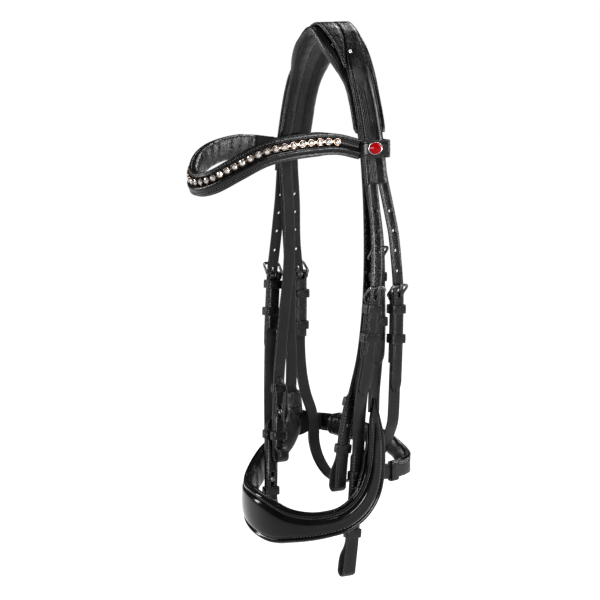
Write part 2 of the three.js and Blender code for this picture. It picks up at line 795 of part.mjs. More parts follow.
// The long part: from the off side of the noseband over the poll to the near buckle.
function nosebandSliphead() {
  const tipU = atHeight(hangerLine, HANGER_TIP);
  const lift = (u) => LAYER * ease(u, atHeight(hangerLine, -150), atHeight(hangerLine, -196));
  const off = beside(hangerLine, alongY, 0, 0.06, 1, 9).map(mirrored).reverse();
  const near = beside(hangerLine, alongY, lift, 0.06, tipU, 12);
  const curve = smooth([...off, ...hangerPoll, ...near]);
  const tipShare = 11 / curve.getLength();
  const strap = sweep(flat(SLIPHEAD_WIDTH), curve, alongY, {
    stations: byBendToTip(curve, tipShare),
    widthAt: pointed(tipShare),
  });
  const cuts = [-160, -177, -230, -247].map((z) => {
    const u = atHeight(hangerLine, z);
    return punch(frameAt(hangerLine, alongY, u), HOLE_RADIUS, 0, 5, lift(u));
  });
  const buckle = frameAt(hangerLine, alongY, hangerBarU);
  cuts.push(punch(buckle, TONGUE / 2 + 0.6, 2.6, 6, LAYER, 0.9));
  return without(strap, cuts);
}

function hangerNearStrap() {
  const down = beside(hangerLine, alongY, 0, hangerBarU + BELOW_FOLD / hangerLine.getLength(), 1, 8);
  const points = [...foldedTop(hangerLine, alongY, hangerBarU, 50), ...down];
  const buckle = frameAt(hangerLine, alongY, hangerBarU);
  const strap = foldedStrap(SLIPHEAD_WIDTH, points, squareTo(buckle));
  return without(strap, [tongueSlot(buckle)]);
}

function addNosebandHanger() {
  const buckle = frameAt(hangerLine, alongY, hangerBarU);
  const at = (z) => frameAt(hangerLine, alongY, atHeight(hangerLine, z));
  const stack = [-LAYER - STRAP / 2 - GAP, LAYER + STRAP / 2];
  add('noseband_sliphead', nosebandSliphead(), leather());
  add('noseband_hanger_strap', hangerNearStrap(), leather());
  add('noseband_hanger_buckle', buckleFrame(buckle, SLIPHEAD_WIDTH), metal());
  add('noseband_hanger_tongue', buckleTongue(buckle), metal());
  add('noseband_hanger_keeper', keeper(at(-232), SLIPHEAD_WIDTH, ...stack), leather());
  const runner = keeper(at(-276), SLIPHEAD_WIDTH, -STRAP / 2, stack[1], KEEPER_HEIGHT, SLACK);
  add('noseband_hanger_runner', runner, leather());
}

// ---- Throatlatch --------------------------------------------------------------------------

const throatBarU = atHeight(throatLine, BUCKLE_HEIGHT);

// The throatlatch runs down the off side and up the near one, so its width points forward.
function throatStrap() {
  const half = [
    ...foldedTop(throatLine, alongY, throatBarU, 70),
    ...beside(throatLine, alongY, 0, throatBarU + BELOW_FOLD / throatLine.getLength(), 1, 14),
  ];
  const points = [...half.slice(0, -1).map(mirrored), ...half.reverse()];
  const strap = foldedStrap(THROAT_WIDTH, points, () => vec(0, -1, 0));
  const slot = tongueSlot(frameAt(throatLine, alongY, throatBarU));
  return without(strap, [slot, flipX(slot)]);
}

function addThroatSide(name, side) {
  const buckle = frameAt(throatLine, alongY, throatBarU);
  const at = (z) => frameAt(throatLine, alongY, atHeight(throatLine, z, 0, 0.8));
  const stack = [-LAYER - STRAP / 2 - GAP, LAYER + STRAP / 2];
  add(`${name}_throat_buckle`, forSide(buckleFrame(buckle, THROAT_WIDTH), side), metal());
  add(`${name}_throat_tongue`, forSide(buckleTongue(buckle), side), metal());
  const fixed = keeper(at(side.throatKeepers[0]), THROAT_WIDTH, BY_FOLD, stack[1]);
  add(`${name}_throat_keeper`, forSide(fixed, side), leather());
  const runner = keeper(at(side.throatKeepers[1]), THROAT_WIDTH, ...stack, KEEPER_HEIGHT, SLACK);
  add(`${name}_throat_runner`, forSide(runner, side), leather());
}

// ---- Browband -----------------------------------------------------------------------------

// Height of the browband's middle, from the near loop round the forehead to the off loop.
const BROW_HEIGHTS = [
  [82.5, -108],
  [72, -102],
  [58, -104],
  [44, -111],
  [30, -125],
  [15, -138],
  [0, -142.5],
  [-15, -139],
  [-30, -129],
  [-44, -120],
  [-58, -115],
  [-72, -114],
  [-82.5, -117],
];

function onPlan(plan, degrees, z, outward = 0) {
  const turn = THREE.MathUtils.degToRad(degrees);
  const normal = vec(Math.sin(turn) / plan.halfWidth, -Math.cos(turn) / plan.halfDepth, 0).normalize();
  return vec(plan.halfWidth * Math.sin(turn), -plan.halfDepth * Math.cos(turn), z)
    .addScaledVector(normal, outward);
}

const browLine = smooth(BROW_HEIGHTS.map(([degrees, z]) => onPlan(BROW, degrees, z)).reverse());
const BROW_FRONT = 2.6; // thickness of the browband's leather front
const BROW_PAD = 7; // thickness of its lining

function browWidth(u) {
  return 23 - 3 * ease(Math.abs(2 * u - 1), 0.72, 0.95);
}

// The loop at the end of the browband that the crown and its slipheads pass through.
function browLoop(z) {
  const outer = { front: -21.6, back: 12.4, inside: 68.2, outside: 91.6 };
  const wall = 2.4;
  const corner = 6;
  const loop = (grow) => {
    const x0 = outer.inside - grow;
    const x1 = outer.outside + grow;
    const y0 = outer.front - grow;
    const y1 = outer.back + grow;
    const r = corner + grow;
    const path = new THREE.Shape();
    path.absarc(x1 - r, y0 + r, r, -Math.PI / 2, 0, false);
    path.absarc(x1 - r, y1 - r, r, 0, Math.PI / 2, false);
    path.absarc(x0 + r, y1 - r, r, Math.PI / 2, Math.PI, false);
    path.absarc(x0 + r, y0 + r, r, Math.PI, 1.5 * Math.PI, false);
    return path;
  };
  const shape = loop(0);
  shape.holes.push(loop(-wall));
  const geometry = new THREE.ExtrudeGeometry(shape, { depth: 19, bevelEnabled: false, curveSegments: 3 });
  geometry.translate(0, 0, z - 9.5);
  return bare(geometry);
}

function addBrowband() {
  const front = sweep(flat(1, BROW_FRONT), browLine, alongZ, { steps: 44, widthAt: browWidth });
  const loops = [browLoop(-108), flipX(browLoop(-117))];
  add('browband', joined([front, ...loops]), leather());

  const liningLine = smooth(beside(browLine, alongZ, -BROW_FRONT / 2 - 2 * GAP - BROW_PAD * 0.3, 0.07, 0.93, 30));
  const narrow = (u) => 1 - 0.16 * ease(Math.abs(2 * u - 1), 0.85, 1);
  add('browband_lining', sweep(padded(25, BROW_PAD), liningLine, alongZ, { steps: 38, widthAt: narrow }), padding());

  add('crystal_chain', crystalChain(), metal(0xc9a184));
  for (const [name, sign, z] of [
    ['near', 1, -108],
    ['off', -1, -117],
  ]) {
    add(`${name}_browband_stud`, browStud(sign, z), metal(0xb3202a));
  }
}

// A strip of cups, each with a cut stone, sewn along the middle of the browband.
function crystalChain() {
  const share = (STONE_PITCH * STONE_COUNT) / browLine.getLength() / 2;
  const lift = BROW_FRONT / 2 + GAP;
  const strip = smooth(beside(browLine, alongZ, lift, 0.5 - share, 0.5 + share, 36));
  const steps = STONE_COUNT * 4;
  const inCup = (u) => [0, 0.75, 1, 0.75][Math.round(u * steps) % 4];
  const section = [
    [-0.5, 0],
    [0.5, 0],
    [0.32, 1],
    [-0.32, 1],
  ];
  return sweep(section, strip, alongZ, {
    steps,
    widthAt: (u) => lerp(2.6, 6.4, inCup(u)),
    thickAt: (u) => lerp(1, 3.8, inCup(u)),
  });
}

function browStud(sign, z) {
  const points = [
    [0, 3],
    [3.6, 2.6],
    [5.6, 1.7],
    [6.4, 1.6],
    [6.6, 0.9],
    [6.6, 0],
    [0, 0],
  ].map(([r, h]) => new THREE.Vector2(r, h));
  const geometry = new THREE.LatheGeometry(points.reverse(), 14);
  geometry.rotateZ(-sign * Math.PI / 2);
  geometry.translate(sign * (91.6 + GAP), -4.6, z);
  return bare(geometry);
}

// ---- Noseband -----------------------------------------------------------------------------

// Middle of the noseband: degrees round from the front, height, and half its width there.
const NOSE_STATIONS = [
  [-89, -347, 1],
  [-90, -366, 6],
  [-91, -386, 9],
  [-89, -408, 11],
  [-82, -425, 12.5],
  [-68, -436, 13],
  [-54, -449, 14],
  [-38, -461, 16],
  [-22, -468, 18.5],
  [-8, -471, 21],
  [6, -475, 21.5],
  [19, -479, 20],
  [32, -480, 16],
  [46, -479, 13.5],
  [58, -476, 12.5],
  [69, -471, 12.5],
  [79, -460, 12.5],
  [86.5, -443, 12],
  [90, -420, 10.5],
  [90.5, -394, 8.8],
  [89, -372, 6],
  [88.5, -352, 1],
];
const noseLine = smooth(NOSE_STATIONS.map(([degrees, z]) => onPlan(NOSE, degrees, z)));
const noseHalfLine = smooth(NOSE_STATIONS.map(([, , half], k) => vec(k, half, 0)));

// Across the noseband, whatever way it runs, while it faces straight out from the head.
function acrossNose(p, t) {
  const facing = vec(p.x / NOSE.halfWidth ** 2, p.y / NOSE.halfDepth ** 2, 0).normalize();
  return vec(0, 0, 0).crossVectors(facing, t);
}

// Half the noseband's width at a share of its length.
function noseHalf(u) {
  const t = noseLine.getUtoTmapping(u);
  return Math.max(noseHalfLine.getPoint(t).y, 0.8);
}

const NOSE_PAD = 6;
const NOSE_LEATHER = 2.2;

function addNoseband() {
  const crankU = nearestU(noseLine, vec(NOSE.halfWidth, 0, -425));
  const overCrank = (u) => (LAYER + GAP) * (1 - ease(Math.abs(u - crankU) * noseLine.getLength(), 12, 26));
  const padOut = (u) => -3 * GAP - NOSE_PAD * 0.3 - overCrank(u);
  const padLine = smooth(beside(noseLine, acrossNose, padOut, 0.055, 0.945, 60));
  const padHalf = (u) => (noseHalf(lerp(0.055, 0.945, u)) + 0.6) * 2;
  const padThick = (u) => lerp(1, 0.5, ease(Math.abs(2 * u - 1), 0.88, 0.97));
  add('noseband_lining', sweep(padded(1, NOSE_PAD), padLine, acrossNose, { steps: 44, widthAt: padHalf, thickAt: padThick }), padding());

  const backLine = smooth(beside(noseLine, acrossNose, NOSE_LEATHER / 2, 0, 1, 60));
  const backHalf = (u) => noseHalf(u) * 2;
  const back = sweep(flat(1, NOSE_LEATHER), backLine, acrossNose, { steps: 50, widthAt: backHalf });
  add('noseband', back, leather());

  const from = 0.2;
  const to = 0.86;
  const panelLine = smooth(beside(noseLine, acrossNose, NOSE_LEATHER + 2 * GAP, from, to, 40));
  const panelHalf = (u) => Math.max((noseHalf(lerp(from, to, u)) - 3.4) * 2, 1);
  const tipped = (u) => Math.max(Math.sqrt(Math.min(1, Math.min(u, 1 - u) / 0.045)), 0.1);
  const panel = sweep(domed(1, 1), panelLine, acrossNose, {
    stations: [...evenly(4, 0, 0.045), ...evenly(28, 0.07, 0.93), ...evenly(4, 0.955, 1)],
    widthAt: (u) => panelHalf(u) * tipped(u),
    thickAt: (u) => 3 * (0.3 + 0.7 * tipped(u)),
  });
  add('noseband_patent_panel', panel, patent());
}

// ---- Jaw strap and crank ------------------------------------------------------------------

const JAW_WIDTH = 20;
const CRANK_WIDTH = 15.5;
const JAW_PAD = 6.5;

// From under the noseband's near end, round the near corner, behind the jaw to the off side.
const jawLine = smooth([
  vec(81.2, -1, -425),
  vec(81, 8, -426.5),
  vec(79, 20, -428),
  vec(75.2, 32, -428),
  vec(71.5, 42, -427.5),
  vec(67.3, 49.3, -426),
  vec(60.5, 52.6, -422),
  vec(50, 51.8, -416.5),
  vec(34, 49.5, -410),
  vec(14, 47, -406.5),
  vec(-14, 43.8, -405),
  vec(-42, 39.6, -404.5),
  vec(-68, 33, -405),
  vec(-82, 22, -406),
  vec(-87.8, 8, -407),
  vec(-88, -6, -408),
]);
const crankBuckleU = nearestU(jawLine, vec(-26, 42, -405));
const jawShare = (distance) => distance / jawLine.getLength();

// The billet from the near side: through the buckle behind the jaw, then under its keeper.
function crankStrap() {
  const endU = crankBuckleU + jawShare(42);
  const lift = (u) => LAYER * ease(u, crankBuckleU - jawShare(62), crankBuckleU - jawShare(26));
  const curve = smooth(beside(jawLine, alongZ, lift, 0, endU, 26));
  const tipShare = 11 / curve.getLength();
  const strap = sweep(flat(CRANK_WIDTH), curve, alongZ, {
    stations: byBendToTip(curve, tipShare),
    widthAt: pointed(tipShare),
  });
  const cuts = [-40, -24].map((distance) => {
    const u = crankBuckleU + jawShare(distance);
    return punch(frameAt(jawLine, alongZ, u), HOLE_RADIUS, 0, 5, lift(u));
  });
  const buckle = frameAt(jawLine, alongZ, crankBuckleU);
  cuts.push(punch(buckle, TONGUE / 2 + 0.6, 2.6, 6, LAYER, 0.9));
  return without(strap, cuts);
}

// The jaw strap's leather, from its buckle to the rounded flap sewn on the noseband's off side.
function jawStrap() {
  const points = [
    ...foldedTop(jawLine, alongZ, crankBuckleU, 46),
    ...beside(jawLine, alongZ, 0, crankBuckleU + jawShare(BELOW_FOLD), 1, 12),
  ];
  const curve = smooth(points);
  const flapFrom = 1 - 34 / curve.getLength();
  const widthAt = (u) => {
    const flap = 1 + 0.55 * ease(u, flapFrom, flapFrom + (1 - flapFrom) * 0.5);
    const round = THREE.MathUtils.clamp((u - 0.94) / 0.06, 0, 1);
    return flap * Math.sqrt(1 - round * round * 0.8);
  };
  const strap = sweep(flat(JAW_WIDTH - 2), curve, alongZ, { stations: byBend(curve, 12), widthAt });
  return without(strap, [tongueSlot(frameAt(jawLine, alongZ, crankBuckleU))]);
}

// The pad under the buckle, from the near corner to where the strap reaches the off side.
function jawPad() {
  const fromU = nearestU(jawLine, vec(73.6, 37, -428));
  const toU = nearestU(jawLine, vec(-57, 36, -405));
  const cornerU = nearestU(jawLine, vec(64, 51.5, -424));
  const inward = (u) => {
    const distance = (u - crankBuckleU) / jawShare(1);
    const underLayers = (LAYER + GAP) * (1 - ease(distance, 46, 56)) * ease(distance, -30, -16);
    const underBar = 3.6 * (1 - ease(Math.abs(distance - BAR_DROP), 12, 24));
    const underKeeper = 2.3 * (1 - ease(Math.abs(distance - 24), 5, 14));
    const atCorner = 0.8 * (1 - ease(Math.abs(u - cornerU) / jawShare(1), 14, 26));
    const under = underLayers + atCorner + Math.max(underBar, underKeeper);
    return -(STRAP / 2 + 2 * GAP + under + JAW_PAD * 0.3);
  };
  const curve = smooth(beside(jawLine, alongZ, inward, fromU, toU, 60));
  const round = (u) => Math.max(Math.sqrt(Math.min(1, Math.min(u, 1 - u) / 0.04)), 0.35);
  const stations = [0, 0.012, 0.03, ...evenly(34, 0.05, 0.95), 0.97, 0.988, 1];
  return sweep(padded(JAW_WIDTH, JAW_PAD), curve, alongZ, { stations, widthAt: round });
}

function addJaw() {
  const buckle = frameAt(jawLine, alongZ, crankBuckleU);
  const at = (distance) => frameAt(jawLine, alongZ, crankBuckleU + jawShare(distance));
  add('crank_strap', crankStrap(), leather());
  add('jaw_strap', jawStrap(), leather());
  add('jaw_pad', jawPad(), padding());
  add('crank_buckle', buckleFrame(buckle, JAW_WIDTH - 2), metal());
  add('crank_tongue', buckleTongue(buckle), metal());
  const stack = [-LAYER - STRAP / 2 - GAP, LAYER + STRAP / 2];
  add('crank_keeper', keeper(at(24), JAW_WIDTH - 2, ...stack), leather());
  const corner = frameAt(jawLine, alongZ, nearestU(jawLine, vec(76.4, 24, -428)));
  const loop = keeper(corner, CRANK_WIDTH, -STRAP / 2, STRAP / 2, 10, SLACK, 1.8);
  add('crank_near_runner', loop, leather());
}

add('crown_pad', crownPad(), padding());
add('crown_cover', crownCover(), leather());
add('crown_strap', crownStrap(), leather());
add('crown_rivet', crownRivet(), metal());
addBrowband();
for (const [name, side] of Object.entries(SIDES)) {
  addCheekpiece(name, side);
}
add('bradoon_sliphead', bradoonStrap(), leather());
for (const [name, side] of Object.entries(SIDES)) {
  addBradoonEnd(name, side);
}
addNosebandHanger();
add('throatlatch', throatStrap(), leather());
for (const [name, side] of Object.entries(SIDES)) {
  addThroatSide(name, side);
}
addNoseband();
addJaw();

export default bridle;
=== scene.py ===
"""The visual model of a black leather double bridle headstall.

Each strap is carried along the same line as its solid in the frame, in millimetres, and written
to its mesh in metres. The horse's nose points to -Y and its left, the near side, is +X.
"""
import math

import bpy
import numpy as np
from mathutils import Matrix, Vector


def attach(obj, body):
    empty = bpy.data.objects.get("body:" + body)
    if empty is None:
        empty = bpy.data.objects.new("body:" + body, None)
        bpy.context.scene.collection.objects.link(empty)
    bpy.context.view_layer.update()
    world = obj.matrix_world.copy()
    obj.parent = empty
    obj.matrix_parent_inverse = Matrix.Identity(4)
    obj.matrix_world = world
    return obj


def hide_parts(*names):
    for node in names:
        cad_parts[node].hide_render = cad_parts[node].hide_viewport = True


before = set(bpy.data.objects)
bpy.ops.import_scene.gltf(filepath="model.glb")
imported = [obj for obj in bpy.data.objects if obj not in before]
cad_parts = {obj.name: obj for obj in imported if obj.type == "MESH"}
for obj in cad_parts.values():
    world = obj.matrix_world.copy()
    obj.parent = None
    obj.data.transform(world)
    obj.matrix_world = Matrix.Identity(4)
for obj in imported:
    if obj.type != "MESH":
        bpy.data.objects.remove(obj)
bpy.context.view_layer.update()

# ---- Driving dimensions, in millimetres, as in the solids ------------------------------------

GAP = 0.3
STRAP = 2.4
CROWN = 2.8
LAYER = STRAP + GAP
CHEEK_WIDTH = 13.4
BILLET_WIDTH = 12
THROAT_WIDTH = 12.6
SLIPHEAD_WIDTH = 12.6
CROWN_WIDTH = 24.5
HOLE_HEIGHTS = (-168, -187, -206, -226)
HOLE_RADIUS = 1.6
BUCKLE_HEIGHT = -247
HANGER_BUCKLE_HEIGHT = -210
BAR = 1.35
BAR_DROP = 4.5
FRONT_RISE = 7
FOLD = BAR + 0.35 + STRAP / 2
BELOW_FOLD = 11
BY_FOLD = -LAYER - STRAP / 2 - 1.7
KEEPER_HEIGHT = 8.5
KEEPER_WALL = 1.4
TWO_DEEP = LAYER + STRAP / 2
SEAM_INSET = 1.75
STITCH_HEIGHT = STRAP / 2 - 0.12
STITCH_PITCH = 3.1
STUD_HOLE_DEPTH = 3.6
TONGUE_SLOT = 1.7
SLACK = 0.5
EYE = 5.4
NOSE = (83, 87)
BROW = (86, 152)
STONE_PITCH = 8.4
STONE_COUNT = 37
SIDES = {
    "near": {
        "sign": 1,
        "billet_end": -346,
        "throat_keepers": (-264, -293),
        "throat_billet_end": -346,
        "cheek_lower": (-431, -489),
        "cheek_stud": -444,
        "cheek_turnback": -403,
        "bradoon_lower": (-357, -404),
        "bradoon_stud": -380,
        "bradoon_turnback": -345,
        "loop_height": -108,
    },
    "off": {
        "sign": -1,
        "billet_end": -331,
        "throat_keepers": (-272, -305),
        "throat_billet_end": -340,
        "cheek_lower": (-412, -468),
        "cheek_stud": -456,
        "cheek_turnback": -395,
        "bradoon_lower": (-365, -411),
        "bradoon_stud": -388,
        "bradoon_turnback": -353,
        "loop_height": -117,
    },
}
ALONG_Y = np.array([0.0, 1.0, 0.0])
ALONG_Z = np.array([0.0, 0.0, 1.0])


# ---- Lines and the frames along them ---------------------------------------------------------


def ease(value, low, high):
    t = np.clip((np.asarray(value, float) - low) / (high - low), 0, 1)
    return t * t * (3 - 2 * t)


def mix(a, b, t):
    return a + (b - a) * t


def unit(v):
    return v / np.maximum(np.linalg.norm(v, axis=-1, keepdims=True), 1e-9)


def mirrored(points):
    return np.asarray(points, float) * (-1, 1, 1)


class Frames:
    """Places along a line: across, outward and along at each."""

    def __init__(self, p, s, t):
        self.p = p
        self.t = unit(t)
        self.s = unit(s - self.t * np.sum(s * self.t, axis=-1, keepdims=True))
        self.n = np.cross(self.t, self.s)

    def put(self, a=0.0, o=0.0, d=0.0):
        a, o, d = (np.broadcast_to(np.asarray(v, float), len(self.p))[:, None] for v in (a, o, d))
        return self.p + self.s * a + self.n * o + self.t * d


class Line:
    """A smooth curve through points, measured by its length."""

    def __init__(self, points, per_span=24):
        p = np.asarray(points, float)
        q = np.vstack([2 * p[0] - p[1], p, 2 * p[-1] - p[-2]])
        t = (np.arange(per_span) / per_span)[:, None]
        spans = []
        for i in range(len(p) - 1):
            a, b, c, d = q[i : i + 4]
            start, end = (c - a) / 2, (d - b) / 2
            span = (2 * t**3 - 3 * t**2 + 1) * b + (t**3 - 2 * t**2 + t) * start
            spans.append(span + (3 * t**2 - 2 * t**3) * c + (t**3 - t**2) * end)
        self.path = np.vstack([*spans, p[-1:]])
        steps = np.linalg.norm(np.diff(self.path, axis=0), axis=1)
        self.at = np.concatenate([[0], np.cumsum(steps)])
        self.length = self.at[-1]
        self.slope = unit(np.gradient(self.path, self.at, axis=0))

    def sample(self, values, u):
        at = np.atleast_1d(u) * self.length
        return np.stack([np.interp(at, self.at, values[:, k]) for k in range(3)], axis=1)

    def points(self, u):
        return self.sample(self.path, u)

    def frames(self, across, u):
        p = self.points(u)
        t = unit(self.sample(self.slope, u))
        s = across(p, t) if callable(across) else np.broadcast_to(across, p.shape)
        return Frames(p, s, t)

    def beside(self, across, outward, start, end, count):
        u = np.linspace(start, end, count + 1)
        outward = outward(u) if callable(outward) else outward
        return self.frames(across, u).put(o=outward)

    def at_height(self, z, end=1.0):
        u = np.linspace(0, end, 4001)
        height = self.points(u)[:, 2]
        return float(np.interp(-z, -height, u))

    def level(self, z, end=1.0):
        """The place at one height on a line whose straps lie across Y."""
        return self.frames(ALONG_Y, self.at_height(z, end))

    def nearest(self, point):
        u = np.linspace(0, 1, 4001)
        gaps = np.linalg.norm(self.points(u) - np.asarray(point, float), axis=1)
        return float(u[np.argmin(gaps)])

    def stations(self, step=2.2, turn=0.2, end=1.0):
        """Shares of the length, closer together where the line bends."""
        middle = (self.at[1:] + self.at[:-1]) / 2
        bend = np.linalg.norm(np.diff(self.slope, axis=0), axis=1)
        weight = np.diff(self.at) / step + bend / turn
        total = np.concatenate([[0], np.cumsum(weight)])
        last = np.interp(end, self.at / self.length, total)
        count = max(int(math.ceil(last)), 4)
        return np.interp(np.linspace(0, last, count + 1), total, self.at / self.length)


# ---- Meshes ----------------------------------------------------------------------------------


def make(name, points, faces, parts=None, materials=(), wear_and_highlight=None, sign=1, smooth=True):
    """A mesh object in metres. Sign -1 mirrors it to the off side."""
    points = np.asarray(points, float) * 0.001
    if sign < 0:
        points = points * (-1, 1, 1)
        faces = [tuple(reversed(face)) for face in faces]
    mesh = bpy.data.meshes.new(name)
    mesh.from_pydata(points.tolist(), [], faces)
    for material in materials:
        mesh.materials.append(material)
    if parts is not None:
        mesh.polygons.foreach_set("material_index", np.asarray(parts, np.int32))
    mesh.polygons.foreach_set("use_smooth", np.full(len(faces), smooth))
    # The edge mark: worn cut edges, which the leather also lightens as a painted highlight.
    layer = mesh.attributes.new("wear_and_highlight", "FLOAT", "POINT")
    values = np.zeros(len(points)) if wear_and_highlight is None else np.asarray(wear_and_highlight, float)
    layer.data.foreach_set("value", values)
    mesh.update()
    piece = bpy.data.objects.new(name, mesh)
    bpy.context.scene.collection.objects.link(piece)
    return piece


def sweep(name, places, section, materials, parts=None, wear_and_highlight=None, sign=1, closed=False):
    """A section of m points carried through k places. The section runs anticlockwise."""
    k, m = len(places.p), section.shape[1]
    points = (
        places.p[:, None]
        + places.s[:, None] * section[:, :, :1]
        + places.n[:, None] * section[:, :, 1:]
    ).reshape(-1, 3)
    faces = []
    indices = []
    parts = [0] * m if parts is None else parts
    for i in range(k if closed else k - 1):
        row, after = i * m, ((i + 1) % k) * m
        for j in range(m):
            following = (j + 1) % m
            faces.append((row + j, row + following, after + following, after + j))
            indices.append(parts[j])
    if not closed:
        faces.append(tuple(reversed(range(m))))
        faces.append(tuple((k - 1) * m + j for j in range(m)))
        indices += [parts[m // 2]] * 2
    wear_and_highlight = None if wear_and_highlight is None else np.tile(wear_and_highlight, k)
    return make(name, points, faces, indices, materials, wear_and_highlight, sign)


def spread(template, width, thick, shift=0.0, corner=3.0):
    """A section at each place from (share of width, offset, share of thickness, offset) rows."""
    a, b, c, d = (np.array(template, float)[:, i][None] for i in range(4))
    sizes = (width, thick, shift)
    width, thick, shift = (np.atleast_1d(np.asarray(v, float))[:, None] for v in sizes)
    room = np.minimum(1, width / 2 / corner)
    x = a * width / 2 + b * room + shift
    y = c * thick / 2 + d * np.minimum(1, thick / 2)
    return np.stack(np.broadcast_arrays(x, y), axis=-1)


def strap_template(crease=1.85, radius=0.75, dome=0.16):
    """A strap's section: soft edges, and a line creased beside each edge on the grain side."""
    r = radius
    half = [
        (1, -r, -1, 0),
        (1, -0.3 * r, -1, 0.3 * r),
        (1, 0, -1, r),
        (1, 0, 1, -r),
        (1, -0.3 * r, 1, -0.3 * r),
        (1, -r, 1, 0),
        (1, -crease + 0.35, 1, 0.05),
        (1, -crease, 1, -0.2),
        (1, -crease - 0.35, 1, 0.05),
        (0.5, 0, 1, dome * 0.85),
    ]
    other = [(-a, -b, c, d) for a, b, c, d in reversed(half)]
    return [(-0.5, 0, -1, 0), (0, 0, -1, 0), (0.5, 0, -1, 0), *half, (0, 0, 1, dome), *other]


STRAP_SECTION = strap_template()
# The flesh side is the first edges. The cut edges are marked for a lighter colour, which is partly
# wear and partly a painted highlight.
STRAP_PARTS = [1, 1, 1, *[0] * (len(STRAP_SECTION) - 4), 1]
EDGE_WEAR_AND_HIGHLIGHT = [0.5, 1, 1, 1, 1, 0.6, 0.1]
STRAP_WEAR_AND_HIGHLIGHT = [0, 0, 0, *EDGE_WEAR_AND_HIGHLIGHT, *[0] * (len(STRAP_SECTION) - 17), *EDGE_WEAR_AND_HIGHLIGHT[::-1]]


def rounded(points, radius, steps=5):
    """The corners of a closed outline rounded off."""
    out = []
    count = len(points)
    for i in range(count):
        before, corner, after = (np.array(points[(i + j) % count], float) for j in (-1, 0, 1))
        a = corner + unit(before - corner) * radius
        b = corner + unit(after - corner) * radius
        for k in range(steps + 1):
            t = k / steps
            out.append((1 - t) ** 2 * a + 2 * t * (1 - t) * corner + t * t * b)
    return np.array(out)


def ring(name, place, outline, height, wall, materials, sign=1):
    """A leather band round a closed outline of (across, outward) points."""
    path = np.array([place.put(a, o)[0] for a, o in outline])
    tangent = np.roll(path, -1, axis=0) - np.roll(path, 1, axis=0)
    places = Frames(path, np.broadcast_to(place.t[0], path.shape), tangent)
    section = spread(strap_template(1.35, 0.45, 0.12), np.full(len(path), height), wall)
    return sweep(name, places, section, materials, STRAP_PARTS, STRAP_WEAR_AND_HIGHLIGHT, sign, closed=True)


def rod(name, path, radii, materials, sides, closed, sign, up):
    """A round or oval wire. The radii are (across, outward), for all places or for each."""
    path = np.asarray(path, float)
    if closed:
        tangent = np.roll(path, -1, axis=0) - np.roll(path, 1, axis=0)
    else:
        tangent = np.gradient(path, axis=0)
    across = np.broadcast_to(up, path.shape)
    turn = np.arange(sides) / sides * 2 * math.pi
    radii = np.broadcast_to(np.asarray(radii, float), (len(path), 2))
    section = np.stack(
        [radii[:, :1] * np.cos(turn)[None], radii[:, 1:] * np.sin(turn)[None]], axis=-1
    )
    return sweep(name, Frames(path, across, tangent), section, materials, sign=sign, closed=closed)


def lathe(name, place, profile, materials, sides, sign=1, parts=None, oval=(1, 1)):
    """A turned piece about the outward direction of one place. The profile starts on the axis."""
    points = [place.put(0, profile[0][1])[0]]
    for r, h in profile[1:-1]:
        for k in range(sides):
            turn = 2 * math.pi * k / sides
            a, d = oval[0] * r * math.cos(turn), -oval[1] * r * math.sin(turn)
            points.append(place.put(a, h, d)[0])
    points.append(place.put(0, profile[-1][1])[0])
    rows = len(profile) - 2
    faces = []
    indices = []
    parts = [0] * (rows + 1) if parts is None else parts
    for k in range(sides):
        after = (k + 1) % sides
        faces.append((0, 1 + after, 1 + k))
        indices.append(parts[0])
        for i in range(rows - 1):
            low, high = 1 + i * sides, 1 + (i + 1) * sides
            faces.append((low + k, low + after, high + after, high + k))
            indices.append(parts[i + 1])
        top = 1 + (rows - 1) * sides
        faces.append((top + k, top + after, len(points) - 1))
        indices.append(parts[-1])
    return make(name, points, faces, indices, materials, sign=sign)


def stitch_rows(name, rows, material, sign=1):
    """Rows of thread stitches as one mesh. Each row is places along a line, already offset."""
    rings = [(-0.5, 0.35, -0.3), (-0.28, 0.95, 0.0), (0.28, 0.95, 0.0), (0.5, 0.35, -0.3)]
    length, radius, sides = 2.1, 0.36, 6
    turn = np.arange(sides) / sides * 2 * math.pi
    points = []
    faces = []
    for places in rows:
        for k in range(len(places.p)):
            first = len(points)
            t = unit(places.t[k] + 0.16 * places.s[k])
            s = np.cross(places.n[k], t)
            for along, share, sink in rings:
                centre = places.p[k] + t * along * length + places.n[k] * sink * radius
                for angle in turn:
                    spoke = s * math.cos(angle) + places.n[k] * math.sin(angle)
                    points.append(centre + spoke * radius * share)
            for i in range(len(rings) - 1):
                for j in range(sides):
                    low = first + i * sides
                    a, b = low + j, low + (j + 1) % sides
                    faces.append((a, a + sides, b + sides, b))
            faces.append(tuple(first + j for j in range(sides)))
            last = first + (len(rings) - 1) * sides
            faces.append(tuple(last + j for j in reversed(range(sides))))
    return make(name, points, faces, None, [material], sign=sign)


def row_along(line, across, start, end, a, o, pitch=STITCH_PITCH, side=1):
    """Places for one row of stitches between two shares of a line, a to one side of it."""
    count = max(int(abs(end - start) * line.length / pitch), 2)
    u = np.linspace(start, end, count)
    places = line.frames(across, u)
    moved = places.put(side * (a(u) if callable(a) else a), o)
    return Frames(moved, places.s, np.gradient(moved, axis=0))


def cut(piece, cutters):
    """Takes cutters away from a piece and leaves a plain mesh."""
    for k, cutter in enumerate(cutters):
        step = piece.modifiers.new(f"cut_{k}", "BOOLEAN")
        step.operation = "DIFFERENCE"
        step.solver = "MANIFOLD"
        step.object = cutter
    graph = bpy.context.evaluated_depsgraph_get()
    mesh = bpy.data.meshes.new_from_object(piece.evaluated_get(graph))
    piece.modifiers.clear()
    piece.data = mesh
    for cutter in cutters:
        bpy.data.objects.remove(cutter)


